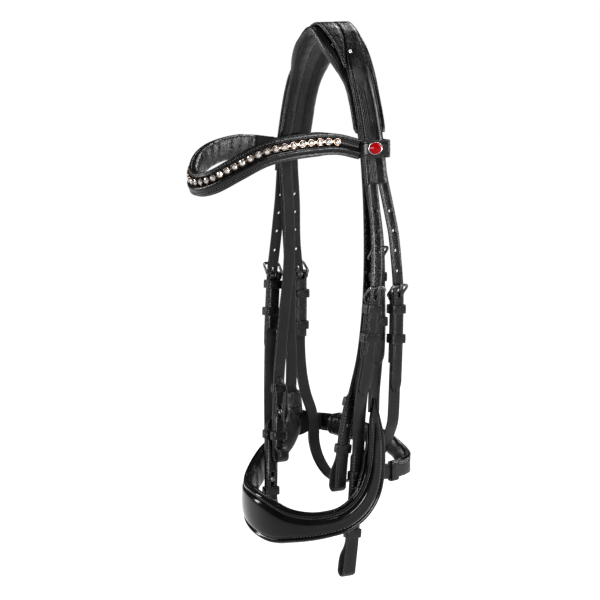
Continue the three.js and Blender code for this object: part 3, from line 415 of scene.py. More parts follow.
def punch(place, radius, half_slot=0.0, outward=0.0, along=0.0, depth=5.0, sign=1):
    """A round or slotted cutter through a strap, one closed mesh."""
    outline = []
    for k in range(24):
        turn = 2 * math.pi * (k + 0.5) / 24
        shift = half_slot if math.sin(turn) > 0 else -half_slot
        outline.append((radius * math.cos(turn), radius * math.sin(turn) + shift))
    points = []
    for o in (outward - depth / 2, outward + depth / 2):
        points += [place.put(a, o, along + d)[0] for a, d in outline]
    count = len(outline)
    faces = [(k, (k + 1) % count, count + (k + 1) % count, count + k) for k in range(count)]
    faces.append(tuple(reversed(range(count))))
    faces.append(tuple(range(count, 2 * count)))
    faces = [tuple(reversed(face)) for face in faces]
    return make("cutter", points, faces, sign=sign)


def keep(piece, *nodes, slot="bridle_leather", body="headstall"):
    """A piece rides on its body and stands for its solids. The slot is not used."""
    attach(piece, body)
    if nodes:
        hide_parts(*nodes)


# ---- Materials -------------------------------------------------------------------------------


class Nodes:
    """A short way to build one material's nodes."""

    def __init__(self, name):
        self.material = bpy.data.materials.new(name)
        self.material.use_nodes = True
        self.tree = self.material.node_tree
        self.shader = self.tree.nodes["Principled BSDF"]
        self.place = self.add("ShaderNodeTexCoord").outputs["Object"]

    def add(self, kind, **inputs):
        node = self.tree.nodes.new(kind)
        for key, value in inputs.items():
            socket = node.inputs[key.replace("_", " ")]
            if isinstance(value, bpy.types.NodeSocket):
                self.tree.links.new(value, socket)
            else:
                socket.default_value = value
        return node

    def link(self, output, socket):
        self.tree.links.new(output, self.shader.inputs[socket])

    def set(self, **values):
        for key, value in values.items():
            self.shader.inputs[key.replace("_", " ")].default_value = value

    def noise(self, scale, detail=4.0, rough=0.55):
        node = self.add("ShaderNodeTexNoise", Vector=self.place, Scale=scale, Detail=detail)
        node.inputs["Roughness"].default_value = rough
        return node.outputs["Fac"]

    def cells(self, scale):
        node = self.add("ShaderNodeTexVoronoi", Vector=self.place, Scale=scale)
        node.feature = "SMOOTH_F1"
        node.inputs["Smoothness"].default_value = 0.25
        return node.outputs["Distance"]

    def span(self, value, low, high, from_low=0.0, from_high=1.0):
        node = self.add("ShaderNodeMapRange", Value=value)
        for key, number in zip(
            ("From Min", "From Max", "To Min", "To Max"), (from_low, from_high, low, high)
        ):
            node.inputs[key].default_value = number
        return node.outputs["Result"]

    def maths(self, operation, a, b):
        node = self.tree.nodes.new("ShaderNodeMath")
        node.operation = operation
        for socket, value in zip(node.inputs, (a, b)):
            if isinstance(value, bpy.types.NodeSocket):
                self.tree.links.new(value, socket)
            else:
                socket.default_value = value
        return node.outputs["Value"]

    def colours(self, fac, a, b):
        node = self.tree.nodes.new("ShaderNodeMix")
        node.data_type = "RGBA"
        self.tree.links.new(fac, node.inputs["Factor"])
        for key, value in (("A", a), ("B", b)):
            socket = next(s for s in node.inputs if s.name == key and s.type == "RGBA")
            if isinstance(value, bpy.types.NodeSocket):
                self.tree.links.new(value, socket)
            else:
                socket.default_value = (*value, 1)
        return next(s for s in node.outputs if s.type == "RGBA")

    def tint(self, scale, detail, dark, light, low=0.35, high=0.65):
        """A base colour that drifts between two colours with a broad noise."""
        tone = self.span(self.noise(scale, detail), 0, 1, low, high)
        self.link(self.colours(tone, dark, light), "Base Color")

    def wear_and_highlight(self):
        node = self.tree.nodes.new("ShaderNodeAttribute")
        node.attribute_name = "wear_and_highlight"
        return node.outputs["Fac"]

    def bump(self, height, distance, strength=1.0, normal=None):
        node = self.add("ShaderNodeBump", Height=height, Distance=distance, Strength=strength)
        if normal is not None:
            self.tree.links.new(normal, node.inputs["Normal"])
        return node.outputs["Normal"]


def leather(name, colour, worn_and_lit_colour, rough, grain, depth):
    """Finished leather: pebbled grain, faint creases, and lighter, smoother cut edges. The lighter
    edge colour is partly wear and partly a painted highlight.
    """
    m = Nodes(name)
    mottle = m.span(m.noise(38, 3), 0, 1, 0.35, 0.65)
    base = m.colours(mottle, [c * 0.72 for c in colour], [c * 1.25 for c in colour])
    # Marked edges drift towards a lighter colour: wear, and a painted highlight along the edges.
    rubbed_and_lit = m.maths("MULTIPLY", m.wear_and_highlight(), m.span(m.noise(420, 2), 0.35, 1, 0.35, 0.7))
    m.link(m.colours(rubbed_and_lit, base, worn_and_lit_colour), "Base Color")
    pores = m.cells(grain)
    fine = m.noise(grain * 2.6, 3)
    creases = m.noise(130, 5, 0.7)
    polish = m.span(m.noise(70, 4), rough - 0.07, rough + 0.1, 0.3, 0.7)
    m.link(polish, "Roughness")
    soft = m.bump(creases, 0.0008, 0.4)
    pebbled = m.bump(pores, depth, 0.7, soft)
    m.link(m.bump(fine, depth * 0.5, 0.5, pebbled), "Normal")
    m.set(Specular_IOR_Level=0.2)
    return m.material


def suede(name, colour):
    """The flesh side: a dull nap with short fibres."""
    m = Nodes(name)
    m.tint(60, 5, [c * 0.75 for c in colour], [c * 1.3 for c in colour], 0.3, 0.7)
    m.link(m.span(m.noise(500, 2), 0.72, 0.92), "Roughness")
    nap = m.bump(m.noise(1600, 3, 0.7), 0.00035, 0.8)
    m.link(m.bump(m.noise(260, 4), 0.0005, 0.4, nap), "Normal")
    m.set(Sheen_Weight=0.06, Sheen_Roughness=0.6, Specular_IOR_Level=0.08)
    return m.material


def patent(name):
    """Lacquered leather: a hard gloss coat over a faintly uneven base."""
    m = Nodes(name)
    m.tint(50, 3, (0.0012, 0.0012, 0.0014), (0.0026, 0.0026, 0.003), 0.3, 0.7)
    m.link(m.span(m.noise(300, 3), 0.12, 0.2), "Roughness")
    m.link(m.bump(m.noise(30, 2), 0.0016, 0.4), "Normal")
    m.set(Specular_IOR_Level=0.04, Coat_Weight=1.0, Coat_Roughness=0.03, Coat_IOR=1.22)
    return m.material


def thread(name, colour):
    m = Nodes(name)
    m.tint(900, 2, [c * 0.6 for c in colour], [c * 1.3 for c in colour])
    m.link(m.span(m.noise(1500, 2), 0.38, 0.6), "Roughness")
    m.link(m.bump(m.noise(2600, 2), 0.0002, 0.6), "Normal")
    return m.material


def metal(name, colour, rough):
    m = Nodes(name)
    m.tint(160, 4, [c * 0.8 for c in colour], [c * 1.15 for c in colour])
    m.link(m.span(m.noise(240, 4), rough * 0.7, rough * 1.5, 0.3, 0.7), "Roughness")
    m.link(m.bump(m.noise(900, 3), 0.00008, 0.6), "Normal")
    m.set(Metallic=1.0)
    return m.material


def crystal(name):
    """A foil-backed stone: bright facets under a clear coat."""
    m = Nodes(name)
    m.tint(330, 2, (0.26, 0.255, 0.245), (0.5, 0.49, 0.48))
    m.link(m.span(m.noise(500, 1), 0.03, 0.09), "Roughness")
    m.set(Metallic=0.85, Coat_Weight=1.0, Coat_Roughness=0.02)
    return m.material


def enamel(name, colour):
    m = Nodes(name)
    m.tint(120, 2, [c * 0.85 for c in colour], colour)
    m.link(m.span(m.noise(300, 2), 0.12, 0.22), "Roughness")
    m.set(Specular_IOR_Level=0.03, Coat_Weight=0.25, Coat_Roughness=0.05, Coat_IOR=1.2)
    return m.material


GRAIN = leather("bridle_leather", (0.0018, 0.0018, 0.002), (0.008, 0.0078, 0.0078), 0.22, 950, 0.00016)
FLESH = suede("flesh_side", (0.0055, 0.0054, 0.0055))
SOFT = leather("lining_leather", (0.002, 0.002, 0.0022), (0.007, 0.007, 0.007), 0.26, 620, 0.00026)
PATENT = patent("patent_leather")
THREAD = thread("waxed_thread", (0.035, 0.035, 0.036))
NICKEL = metal("dark_nickel", (0.09, 0.09, 0.095), 0.26)
BRIGHT = metal("bright_rim", (0.4, 0.4, 0.395), 0.2)
COPPER = metal("rose_copper", (0.2, 0.14, 0.105), 0.24)
STONE = crystal("foil_backed_crystal")
ENAMEL = enamel("red_enamel", (0.13, 0.0006, 0.0012))
LEATHERS = [GRAIN, FLESH]


# ---- The lines that the straps follow, on the near side ---------------------------------------

SEAT_HALF = [(19, -9), (38, -27), (53.7, -47.5), (64.4, -72), (70.5, -92), (75, -108), (77.5, -120)]
SEAT = Line([
    *[(-x, 0, z) for x, z in reversed(SEAT_HALF)],
    (0, 0, 2.5),
    *[(x, 0, z) for x, z in SEAT_HALF],
])
CHEEK_TOP = [
    (81.6, -8.5, -122), (85, -8, -142), (90, -7.4, -172), (93.4, -7.8, -192), (95.9, -8.7, -212),
    (97.7, -10.2, -231), (98.3, -12, -247), (97.2, -14.5, -275),
]
CHEEKS = {
    "near": Line([
        *CHEEK_TOP, (94.6, -17.8, -320), (87.5, -18, -343), (79.5, -15.4, -365), (73, -13, -386),
        (70.6, -11.9, -405), (69, -12.4, -431), (67.6, -15.8, -490), (66.4, -19.2, -527),
    ]),
    "off": Line([
        *CHEEK_TOP, (93.5, -18.6, -320), (83.5, -25, -372), (70.5, -32, -408), (61, -37, -436),
        (57.5, -39.3, -470), (56, -40, -505),
    ]),
}
THROAT = Line([
    (81.6, 2.4, -122), (85, 5, -142), (89.6, 9.6, -172), (92.9, 12, -192), (94.8, 13.3, -212),
    (95.2, 15, -231), (94.4, 16.6, -247), (93.8, 17, -270), (93.4, 16.6, -300), (92.4, 16, -335),
    (88, 17.6, -367), (82.8, 19.2, -381), (75.4, 19.8, -393), (68.8, 18.6, -405),
    (59, 13.4, -421), (42, 9.4, -437), (20, 8, -448), (0, 8, -451),
])
# The share of the throatlatch's line that runs down before it turns under the jaw.
THROAT_DOWN = 0.8
BRADOON_TOP = [
    (79.4, -8.2, -135), (78.8, -6, -165), (78, -4.6, -205), (78.4, -5.6, -245), (79.6, -9, -280),
]
BRADOON_ENDS = {
    "near": [(77, -13.2, -318), (68.5, -20, -363), (62, -23.6, -404), (60, -26, -441.5)],
    "off": [(77.5, -14.5, -318), (68, -23.5, -363), (58, -30, -400), (55, -31.3, -431.5)],
}
HANGER_SIDE = [
    (83, -8, -135), (85.4, -4.6, -165), (86.8, -1.8, -200), (86.8, -0.6, -220), (86.2, 0.2, -245),
    (86.2, 0.8, -285), (84.4, 0.3, -318), (81.4, -0.4, -343), (81.2, -1, -366),
]
HANGER_TIP = -318


def over_poll(outward):
    """The slipheads' line across the poll, and how far forward they lie there."""
    points = SEAT.beside(ALONG_Y, outward, 0.03, 0.97, 26)
    side = np.abs(points[:, 0]) / SEAT_HALF[-1][0]
    points[:, 1] = mix(-6, -9, ease(side, 0.1, 1))
    return points


BRADOON_POLL = over_poll(GAP + STRAP / 2 + 0.06)
HANGER_POLL = over_poll(GAP + LAYER + STRAP / 2 + 0.12)
BRADOONS = {name: Line([BRADOON_POLL[-1], *BRADOON_TOP, *end]) for name, end in BRADOON_ENDS.items()}
HANGER = Line([HANGER_POLL[-1], *HANGER_SIDE])
CHEEK_BARS = {name: line.at_height(BUCKLE_HEIGHT) for name, line in CHEEKS.items()}
THROAT_BAR = THROAT.at_height(BUCKLE_HEIGHT, THROAT_DOWN)
HANGER_BAR = HANGER.at_height(HANGER_BUCKLE_HEIGHT)

BROW_HEIGHTS = [
    (82.5, -108), (72, -102), (58, -104), (44, -111), (30, -125), (15, -138), (0, -142.5),
    (-15, -139), (-30, -129), (-44, -120), (-58, -115), (-72, -114), (-82.5, -117),
]
NOSE_STATIONS = [
    (-89, -347, 1), (-90, -366, 6), (-91, -386, 9), (-89, -408, 11), (-82, -425, 12.5),
    (-68, -436, 13), (-54, -449, 14), (-38, -461, 16), (-22, -468, 18.5), (-8, -471, 21),
    (6, -475, 21.5), (19, -479, 20), (32, -480, 16), (46, -479, 13.5), (58, -476, 12.5),
    (69, -471, 12.5), (79, -460, 12.5), (86.5, -443, 12), (90, -420, 10.5), (90.5, -394, 8.8),
    (89, -372, 6), (88.5, -352, 1),
]


def on_plan(plan, degrees, z):
    turn = math.radians(degrees)
    return (plan[0] * math.sin(turn), -plan[1] * math.cos(turn), z)


BROW_LINE = Line([on_plan(BROW, degrees, z) for degrees, z in reversed(BROW_HEIGHTS)])
NOSE_LINE = Line([on_plan(NOSE, degrees, z) for degrees, z, _ in NOSE_STATIONS])
NOSE_KNOTS = NOSE_LINE.at[::24] / NOSE_LINE.length


def across_nose(p, t):
    """Across the noseband, whatever way it runs, while it faces straight out from the head."""
    facing = unit(p * (1 / NOSE[0] ** 2, 1 / NOSE[1] ** 2, 0))
    return np.cross(facing, t)


def nose_half(u):
    """Half the noseband's width at a share of its length."""
    knots = Line([(k, half, 0) for k, (_, _, half) in enumerate(NOSE_STATIONS)])
    at = np.interp(u, NOSE_KNOTS, np.arange(len(NOSE_STATIONS)))
    return np.maximum(np.interp(at, knots.path[:, 0], knots.path[:, 1]), 0.8)


JAW_WIDTH = 20
JAW_STRAP_WIDTH = JAW_WIDTH - 2
CRANK_WIDTH = 15.5
JAW_PAD = 6.5
JAW = Line([
    (81.2, -1, -425), (81, 8, -426.5), (79, 20, -428), (75.2, 32, -428), (71.5, 42, -427.5),
    (67.3, 49.3, -426), (60.5, 52.6, -422), (50, 51.8, -416.5), (34, 49.5, -410), (14, 47, -406.5),
    (-14, 43.8, -405), (-42, 39.6, -404.5), (-68, 33, -405), (-82, 22, -406), (-87.8, 8, -407),
    (-88, -6, -408),
])
CRANK_BAR = JAW.nearest((-26, 42, -405))


# ---- Straps, buckles and keepers ---------------------------------------------------------------


def pointed(u, share):
    """The share of a strap's width left at each place as its end comes to a point."""
    into = np.clip((np.asarray(u) - (1 - share)) / share, 0, 1)
    return np.maximum(np.sqrt(1 - into * into), 0.06)


def tip_stations(line, share):
    """A line's stations, with more of them over the pointed end."""
    body = line.stations(end=1 - share)
    tip = 1 - share * (1 - np.sin(np.linspace(0, 1, 13)[1:] * math.pi / 2))
    return np.concatenate([body, tip])


def strap(name, line, across, width, stations=None, sign=1):
    """A creased strap along a line, its width one number or a function of the share of length."""
    u = line.stations() if stations is None else stations
    places = line.frames(across, u)
    width = width(u) if callable(width) else np.full(len(u), float(width))
    section = spread(STRAP_SECTION, width, np.full(len(u), STRAP))
    return sweep(name, places, section, LEATHERS, STRAP_PARTS, STRAP_WEAR_AND_HIGHLIGHT, sign)


def half_turn(place, outward, along, radius, up):
    """Points round half a circle about one place, upwards or downwards."""
    turn = np.linspace(0, math.pi, 7)
    way = -1 if up else 1
    return [
        place.put(0, outward + way * radius * math.cos(a), along + way * radius * math.sin(a))[0]
        for a in turn
    ]


def folded_top(line, across, bar, reach):
    """From a strap's loose inner end up round the buckle's bar."""
    place = line.frames(across, bar)
    inner = line.beside(
        across, -LAYER, bar + BELOW_FOLD / line.length, bar + reach / line.length, 3
    )
    return [
        *inner[::-1],
        place.put(0, 0.4 - 2 * FOLD, BAR_DROP + 2.4)[0],
        *half_turn(place, -FOLD, BAR_DROP, FOLD, True),
        place.put(0, 0, BAR_DROP + 2.4)[0],
    ]


def folded_bottom(line, turnback, close):
    """Round the loop for a bit and back up on the inside to the turned-back end."""
    end = line.frames(ALONG_Y, 1.0)
    close_u, back_u = line.at_height(close), line.at_height(turnback)
    middle = line.frames(ALONG_Y, mix(close_u, 1, 0.55))
    return [
        *half_turn(end, -EYE, 0, EYE, False),
        middle.put(0, -2 * EYE + 1)[0],
        *line.beside(ALONG_Y, -LAYER, back_u, close_u, 3)[::-1],
    ]


def square_to(place, plain):
    """Keeps a strap's width square to its buckle where it is folded round the bar."""
    bar = place.put(0, -FOLD, BAR_DROP)[0]

    def across(p, t):
        near = 1 - ease(np.linalg.norm(p - bar, axis=1), 6, 16)[:, None]
        return mix(plain, place.s[0] * np.sign(place.s[0] @ plain), near)

    return across


def buckle(node, place, width, sign=1):
    """A square buckle of round wire whose top side stands over the strap and its billet."""
    half_w = width / 2 + 1.1 + BAR
    half_h = (BAR_DROP + FRONT_RISE) / 2
    corners = [(-half_w, -half_h), (half_w, -half_h), (half_w, half_h), (-half_w, half_h)]
    outline = rounded(corners, 3.2, 7)
    closed = np.vstack([outline, outline[:1]])
    at = np.concatenate([[0], np.cumsum(np.linalg.norm(np.diff(closed, axis=0), axis=1))])
    even = np.linspace(0, at[-1], 97)[:-1]
    a = np.interp(even, at, closed[:, 0])
    along = np.interp(even, at, closed[:, 1])
    lift = STRAP / 2 + LAYER + GAP + BAR + FOLD
    outward = -FOLD + lift * ease((half_h - along) / (2 * half_h), 0, 1)
    along = along + (BAR_DROP - FRONT_RISE) / 2
    path = np.array([place.put(*row)[0] for row in zip(a, outward, along)])
    stout = 1 + 0.14 * ease(-along, FRONT_RISE - 3, FRONT_RISE)
    radii = np.stack([BAR * 0.98 * stout, BAR * 0.98 * stout], axis=1)
    piece = rod(f"{node}_detail", path, radii, [NICKEL], 14, True, sign, place.n[0])
    keep(piece, node, slot="dark_nickel")


def tongue(node, place, sign=1):
    """The tongue turns on the bar, comes up through the hole and rests on the top side."""
    reach = BAR + 0.95
    top = STRAP / 2 + LAYER + GAP + 2 * BAR + 0.35
    eye = [
        (BAR_DROP + reach * math.cos(a), -FOLD + reach * math.sin(a))
        for a in np.linspace(math.radians(-150), math.radians(76), 12)
    ]
    rise = [
        (BAR_DROP - 1.2, -FOLD + reach + 0.6),
        (0.6, LAYER - 0.4),
        (-2.2, (LAYER + top) / 2),
        (-4.8, top + 0.3),
        (-FRONT_RISE, top + 0.75),
        (-FRONT_RISE - 2.3, top + 0.5),
    ]
    line = Line([place.put(0, o, d)[0] for d, o in eye + rise], 6)
    u = np.linspace(0, 1, 70)
    wide = 1.05 - 0.25 * ease(u, 0.55, 1)
    close = np.sqrt(np.clip((1 - u) / 0.03, 0.05, 1))
    radii = np.stack([wide * close, 0.62 * close], axis=1)
    piece = rod(f"{node}_detail", line.points(u), radii, [NICKEL], 12, False, sign, place.s[0])
    keep(piece, node, slot="dark_nickel", body=node)


def keeper(
    node, place, width, low, high, sign=1,
    slack=GAP, body="headstall", height=KEEPER_HEIGHT, wall=KEEPER_WALL,
):
    """A leather ring round a stack of straps that lies between two distances outward."""
    a = width / 2 + slack + wall / 2
    bottom, top = low - slack - wall / 2, high + slack + wall / 2
    outline = rounded([(-a, bottom), (a, bottom), (a, top), (-a, top)], 1.5, 5)
    keep(ring(f"{node}_detail", place, outline, height, wall, LEATHERS, sign), node, body=body)


def runner(node, place, width, low, high, sign=1):
    """A keeper that slides along its straps."""
    keeper(node, place, width, low, high, sign, SLACK, node)


def fastening(prefix, bar, at, width, heights, lows, sign=1):
    """A buckle and its tongue, with a fixed keeper and a runner below them."""
    buckle(f"{prefix}_buckle", bar, width, sign)
    tongue(f"{prefix}_tongue", bar, sign)
    keeper(f"{prefix}_keeper", at(heights[0]), width, lows[0], TWO_DEEP, sign)
    runner(f"{prefix}_runner", at(heights[1]), width, lows[1], TWO_DEEP, sign)


def hook_stud(node, place, sign):
    s = STRAP / 2
    back = -LAYER - s
    profile = [
        (0, s - 0.2), (0.7, s - 0.2), (1.2, s - 0.4), (1.15, back - 0.3), (2.5, back - 0.35),
        (2.9, back - 0.7), (2.8, back - 1.1), (2.2, back - 1.6), (1.2, back - 1.92), (0, back - 2),
    ]
    piece = lathe(f"{node}_detail", place, profile[::-1], [NICKEL], 24, sign)
    keep(piece, node, slot="dark_nickel")


def edge_stitches(
    name, line, across, start, end, edge,
    sign=1, outward=STITCH_HEIGHT, pitch=STITCH_PITCH, slot="bridle_leather",
):
    """A row of stitches along each side of a strap, at a distance from its middle."""
    rows = [row_along(line, across, start, end, edge, outward, pitch, side) for side in (-1, 1)]
    keep(stitch_rows(name, rows, THREAD, sign=sign), slot=slot)


def doubled_end(stem, stud, line, side, heights, stud_height, stitched, width):
    """The keeper, runner, hook stud and stitches that close a turned-back end."""
    sign = side["sign"]
    keeper(f"{stem}_keeper", line.level(heights[0]), width, -TWO_DEEP, STRAP / 2, sign)
    runner(f"{stem}_runner", line.level(heights[1]), width, -TWO_DEEP, STRAP / 2, sign)
    hook_stud(stud, line.level(stud_height), sign)
    start, end = (line.at_height(z) for z in stitched)
    edge_stitches(f"{stem}_stitches", line, ALONG_Y, start, end, width / 2 - SEAM_INSET, sign)


def stud_holes(place, sign):
    """Cutters for the round hole and the slot that a hook stud passes through."""
    hole = punch(place, HOLE_RADIUS, 0, 0, 0, STUD_HOLE_DEPTH, sign)
    slot = punch(place, TONGUE_SLOT, 6, -LAYER, 0, STUD_HOLE_DEPTH, sign)
    return [hole, slot]


def bar_slot(place, sign=1):
    """The cutter for the slot that the tongue stands in, where a strap is folded round its bar."""
    return punch(place, TONGUE_SLOT, 3.4, -FOLD, BAR_DROP + 0.6, 12, sign)


def tongue_hole(place, sign=1):
    """The cutter for the billet's hole that the tongue is through."""
    return punch(place, TONGUE_SLOT, 2.6, LAYER, 0.9, sign=sign)


# ---- Crown -------------------------------------------------------------------------------------

PAD_ENDS = (0.045, 0.91)
PAD_SEAM = 0.79
CROWN_LIFT = 2 * LAYER + GAP + CROWN / 2


def pad_front(u):
    """How far the pad reaches in front of its channel."""
    side = np.abs(2 * u - 1)
    return mix(27, 17, ease(side, 0.15, 0.55)) + 1.5 * ease(side, 0.8, 1)


def pad_back(u):
    side = np.abs(2 * u - 1)
    return mix(24, 17, ease(side, 0.1, 0.6)) - 1.5 * ease(side, 0.9, 1)


def crown_pad():
    """Two stuffed rolls either side of a sunk channel, with piped edges and a seamed top."""
    inner = [
        (0, -2.9), (0.12, -2.85), (0.2, -2.6), (0.245, -2.75), (0.29, -3.6), (0.35, -4.9),
        (0.44, -5.9), (0.55, -6.4), (0.68, -6.45), (0.8, -6.0), (0.89, -5.1), (0.95, -3.8),
        (0.985, -2.5), (1, -1.3),
    ]
    outer = [
        (1.02, -0.3), (1.02, 0.8), (0.99, 1.6), (0.93, 1.75), (0.875, 1.2), (0.845, 0.2),
        (0.825, -0.25), (0.8, 0.0), (0.64, 0.0), (0.6, 0.0), (0.2, 0.0),
    ]
    half = inner + outer
    left = [(-x, y) for x, y in reversed(half[1:])]
    outline = np.array(half + [(0, 0.0)] + left)
    start, stop = PAD_ENDS
    u = np.linspace(start, stop, 200)
    places = SEAT.frames(ALONG_Y, u)
    wide = (pad_front(u) + pad_back(u)) / 2
    shift = (pad_back(u) - pad_front(u)) / 2
    section = np.repeat(outline[None], len(u), axis=0)
    raised = 4.2 * ease(pad_front(u), 17.5, 23)
    lift = np.where(outline[:, 0] < -0.86, 0.6, 1) * (outline[:, 0] < -0.62) * (outline[:, 1] > -0.28)
    section[:, :, 1] += raised[:, None] * lift
    along = u * SEAT.length
    depth = np.clip(-section[:, :, 1], 0, 7) / 7
    pucker = 0.22 * np.sin(along / 1.9) + 0.3 * np.sin(along / 5.3 + 1) + 0.25 * np.sin(along / 11)
    section[:, :, 1] += depth * pucker[:, None] * np.sin(section[:, :, 0] * 9 + along[:, None] / 17)
    end = np.sqrt(np.clip(np.minimum(u - start, stop - u) * SEAT.length / 5, 0.12, 1))
    section[:, :, 1] *= end[:, None]
    section[:, :, 0] = section[:, :, 0] * (wide * mix(0.93, 1, end))[:, None] + shift[:, None]
    piece = sweep("crown_pad_detail", places, section, [SOFT])
    keep(piece, "crown_pad", slot="padded_lining")
    start, stop = start + 0.02, stop - 0.02
    rows = [
        row_along(SEAT, ALONG_Y, start, stop, lambda v: pad_front(v) * PAD_SEAM, 0.05, 3.3, -1),
        row_along(SEAT, ALONG_Y, start, stop, lambda v: pad_back(v) * PAD_SEAM, 0.05, 3.3),
    ]
    keep(stitch_rows("crown_pad_stitches", rows, THREAD), slot="padded_lining")


def crown_middle(x):
    """How far back the crown strap's middle lies."""
    return mix(9.6, -3.4, ease(np.abs(x), 12, 66))


def crown_width(x):
    return CROWN_WIDTH * mix(0.7, 1, ease(np.abs(x), 14, 52))


def cover_back(x):
    """The cover's back edge, just in front of the crown strap."""
    return crown_middle(x) - crown_width(x) / 2 - 4 * GAP


def crown_cover():
    """The cover over the slipheads, pointed in front and stitched round its edge."""
    line = Line(SEAT.beside(ALONG_Y, CROWN_LIFT, 0.3, 0.7, 16))
    u = line.stations(step=1.6)
    places = line.frames(ALONG_Y, u)
    x = places.p[:, 0]
    back = cover_back(x)
    front = -17.5 - 2.2 * ease(-np.abs(x), -34, -8)
    section = spread(STRAP_SECTION, back - front, np.full(len(u), STRAP), (back + front) / 2)
    piece = sweep("crown_cover_detail", places, section, LEATHERS, STRAP_PARTS, STRAP_WEAR_AND_HIGHLIGHT)
    keep(piece, "crown_cover")
    edges = (
        lambda v: np.interp(v, u, front) + 1.9,
        lambda v: cover_back(line.points(v)[:, 0]) - 1.8,
    )
    rows = [row_along(line, ALONG_Y, 0.02, 0.98, edge, STITCH_HEIGHT) for edge in edges]
    keep(stitch_rows("crown_cover_stitches", rows, THREAD))


def crown_line():
    top = SEAT.beside(ALONG_Y, CROWN_LIFT, 0.5, 1, 12)
    top[:, 1] = crown_middle(top[:, 0])
    half = np.vstack([top, [(88.2, -3, -142)]])
    return Line([*mirrored(half[1:])[::-1], *half])


def crown_section(line, u):
    """Three raised ribs and a flat band beside a smooth part. The ribs fade out at the poll."""
    x = line.points(u)[:, 0]
    width = crown_width(x)
    relief = ease(np.abs(x), 30, 44)[:, None]
    band = [
        (0, -1.0, 0), (0.1, -0.2, 0.3), (0.6, 0.1, 0.75), (1.3, 0.1, 0.7),
        (2.8, 0.15, 0.85), (4.2, 0.15, 0.7), (4.8, 0.15, 0.6), (5.2, 0.1, -0.75),
    ]
    rib = [(0, -0.8), (0.25, 0.15), (0.8, 0.3), (1.55, 0.2), (1.8, -0.8)]
    band += [(5.4 + 1.9 * k + edge, 0.1, height) for k in range(3) for edge, height in rib]
    band += [(11.3, 0.1, -0.3), (11.7, 0.1, 0.35), (12.6, 0.15, 0.1)]
    smooth_part = [
        (0.55, 0, 1, 0.2, 0.3), (1, -2.4, 1, 0.1, 0.1), (1, -2.0, 1, -0.3, -0.3),
        (1, -1.6, 1, 0.1, 0.1), (1, -0.7, 1, 0, 0), (1, -0.2, 1, -0.25, -0.25),
        (1, 0, 1, -0.75, -0.75),
    ]
    below = [
        (1, 0, -1, 0.75, 0.75), (1, -0.75, -1, 0, 0), (-1, 0.75, -1, 0, 0), (-1, 0, -1, 0.75, 0.75),
    ]
    above = [(-1, edge, 1, plain, ribbed) for edge, plain, ribbed in band]
    rows = np.array((above + smooth_part + below)[::-1])
    share = np.where(rows[:, 0] < 0, (width / CROWN_WIDTH)[:, None], 1)
    across = rows[:, 0] * width[:, None] / 2 + rows[:, 1] * share
    height = rows[:, 2] * CROWN / 2 + mix(rows[:, 3], rows[:, 4], relief)
    return np.stack([across, height], axis=-1)


def crown_strap():
    line = crown_line()
    u = line.stations()
    section = crown_section(line, u)
    piece = sweep("crown_strap_detail", line.frames(ALONG_Y, u), section, LEATHERS)
    keep(piece, "crown_strap")

    def from_back(inset):
        return lambda v: inset - crown_width(line.points(v)[:, 0]) / 2

    rows = [
        row_along(line, ALONG_Y, start, end, from_back(inset), CROWN / 2 + 0.62, 2.7)
        for start, end in ((0.035, 0.3), (0.7, 0.965))
        for inset in (1.4, 4.1)
    ]
    keep(stitch_rows("crown_strap_stitches", rows, THREAD))
    for name, side in SIDES.items():
        sign = side["sign"]
        cheek = CHEEKS[name]
        billet(f"{name}_cheek_billet", cheek, CHEEK_BARS[name], BILLET_WIDTH, side["billet_end"], sign)
        end = side["throat_billet_end"]
        billet(f"{name}_throat_billet", THROAT, THROAT_BAR, BILLET_WIDTH - 0.4, end, sign)


def billet(name, base, bar, width, end_height, sign):
    """One split end of the crown strap, over its buckle's strap, with its holes."""
    start, end = base.at_height(-128), base.at_height(end_height, THROAT_DOWN)
    line = Line(base.beside(ALONG_Y, LAYER, start, end, 14))
    share = 12 / line.length
    piece = strap(
        name, line, ALONG_Y, lambda u: width * pointed(u, share), tip_stations(line, share), sign
    )
    cutters = [punch(line.level(z), HOLE_RADIUS, sign=sign) for z in HOLE_HEIGHTS]
    cut(piece, [*cutters, tongue_hole(base.frames(ALONG_Y, bar), sign)])
    keep(piece)


def crown_rivet():
    middle = SEAT.frames(ALONG_Y, SEAT.nearest((34, 0, -23)))
    place = Frames(middle.put(-4.6), middle.s, middle.t)
    foot = CROWN_LIFT + CROWN / 2 + 0.5
    profile = [
        (0, foot), (2.1, foot), (2.25, foot + 0.25), (2.1, foot + 0.6), (1.5, foot + 1.05),
        (0.8, foot + 1.35), (0, foot + 1.45),
    ]
    keep(lathe("crown_rivet_detail", place, profile, [BRIGHT], 24), "crown_rivet", slot="dark_nickel")


# ---- Cheekpieces -------------------------------------------------------------------------------


def blunt(left, share):
    """The share of a strap's width left as its turned-back end comes to a blunt arrow point."""
    return np.clip(left / share * 0.72 + 0.28, 0.28, 1)


def turned_back(line, turnback, lower):
    """The loop for the bit and the end turned back, which closes below the lower runner."""
    return folded_bottom(line, turnback, lower - KEEPER_HEIGHT / 2 - 4)


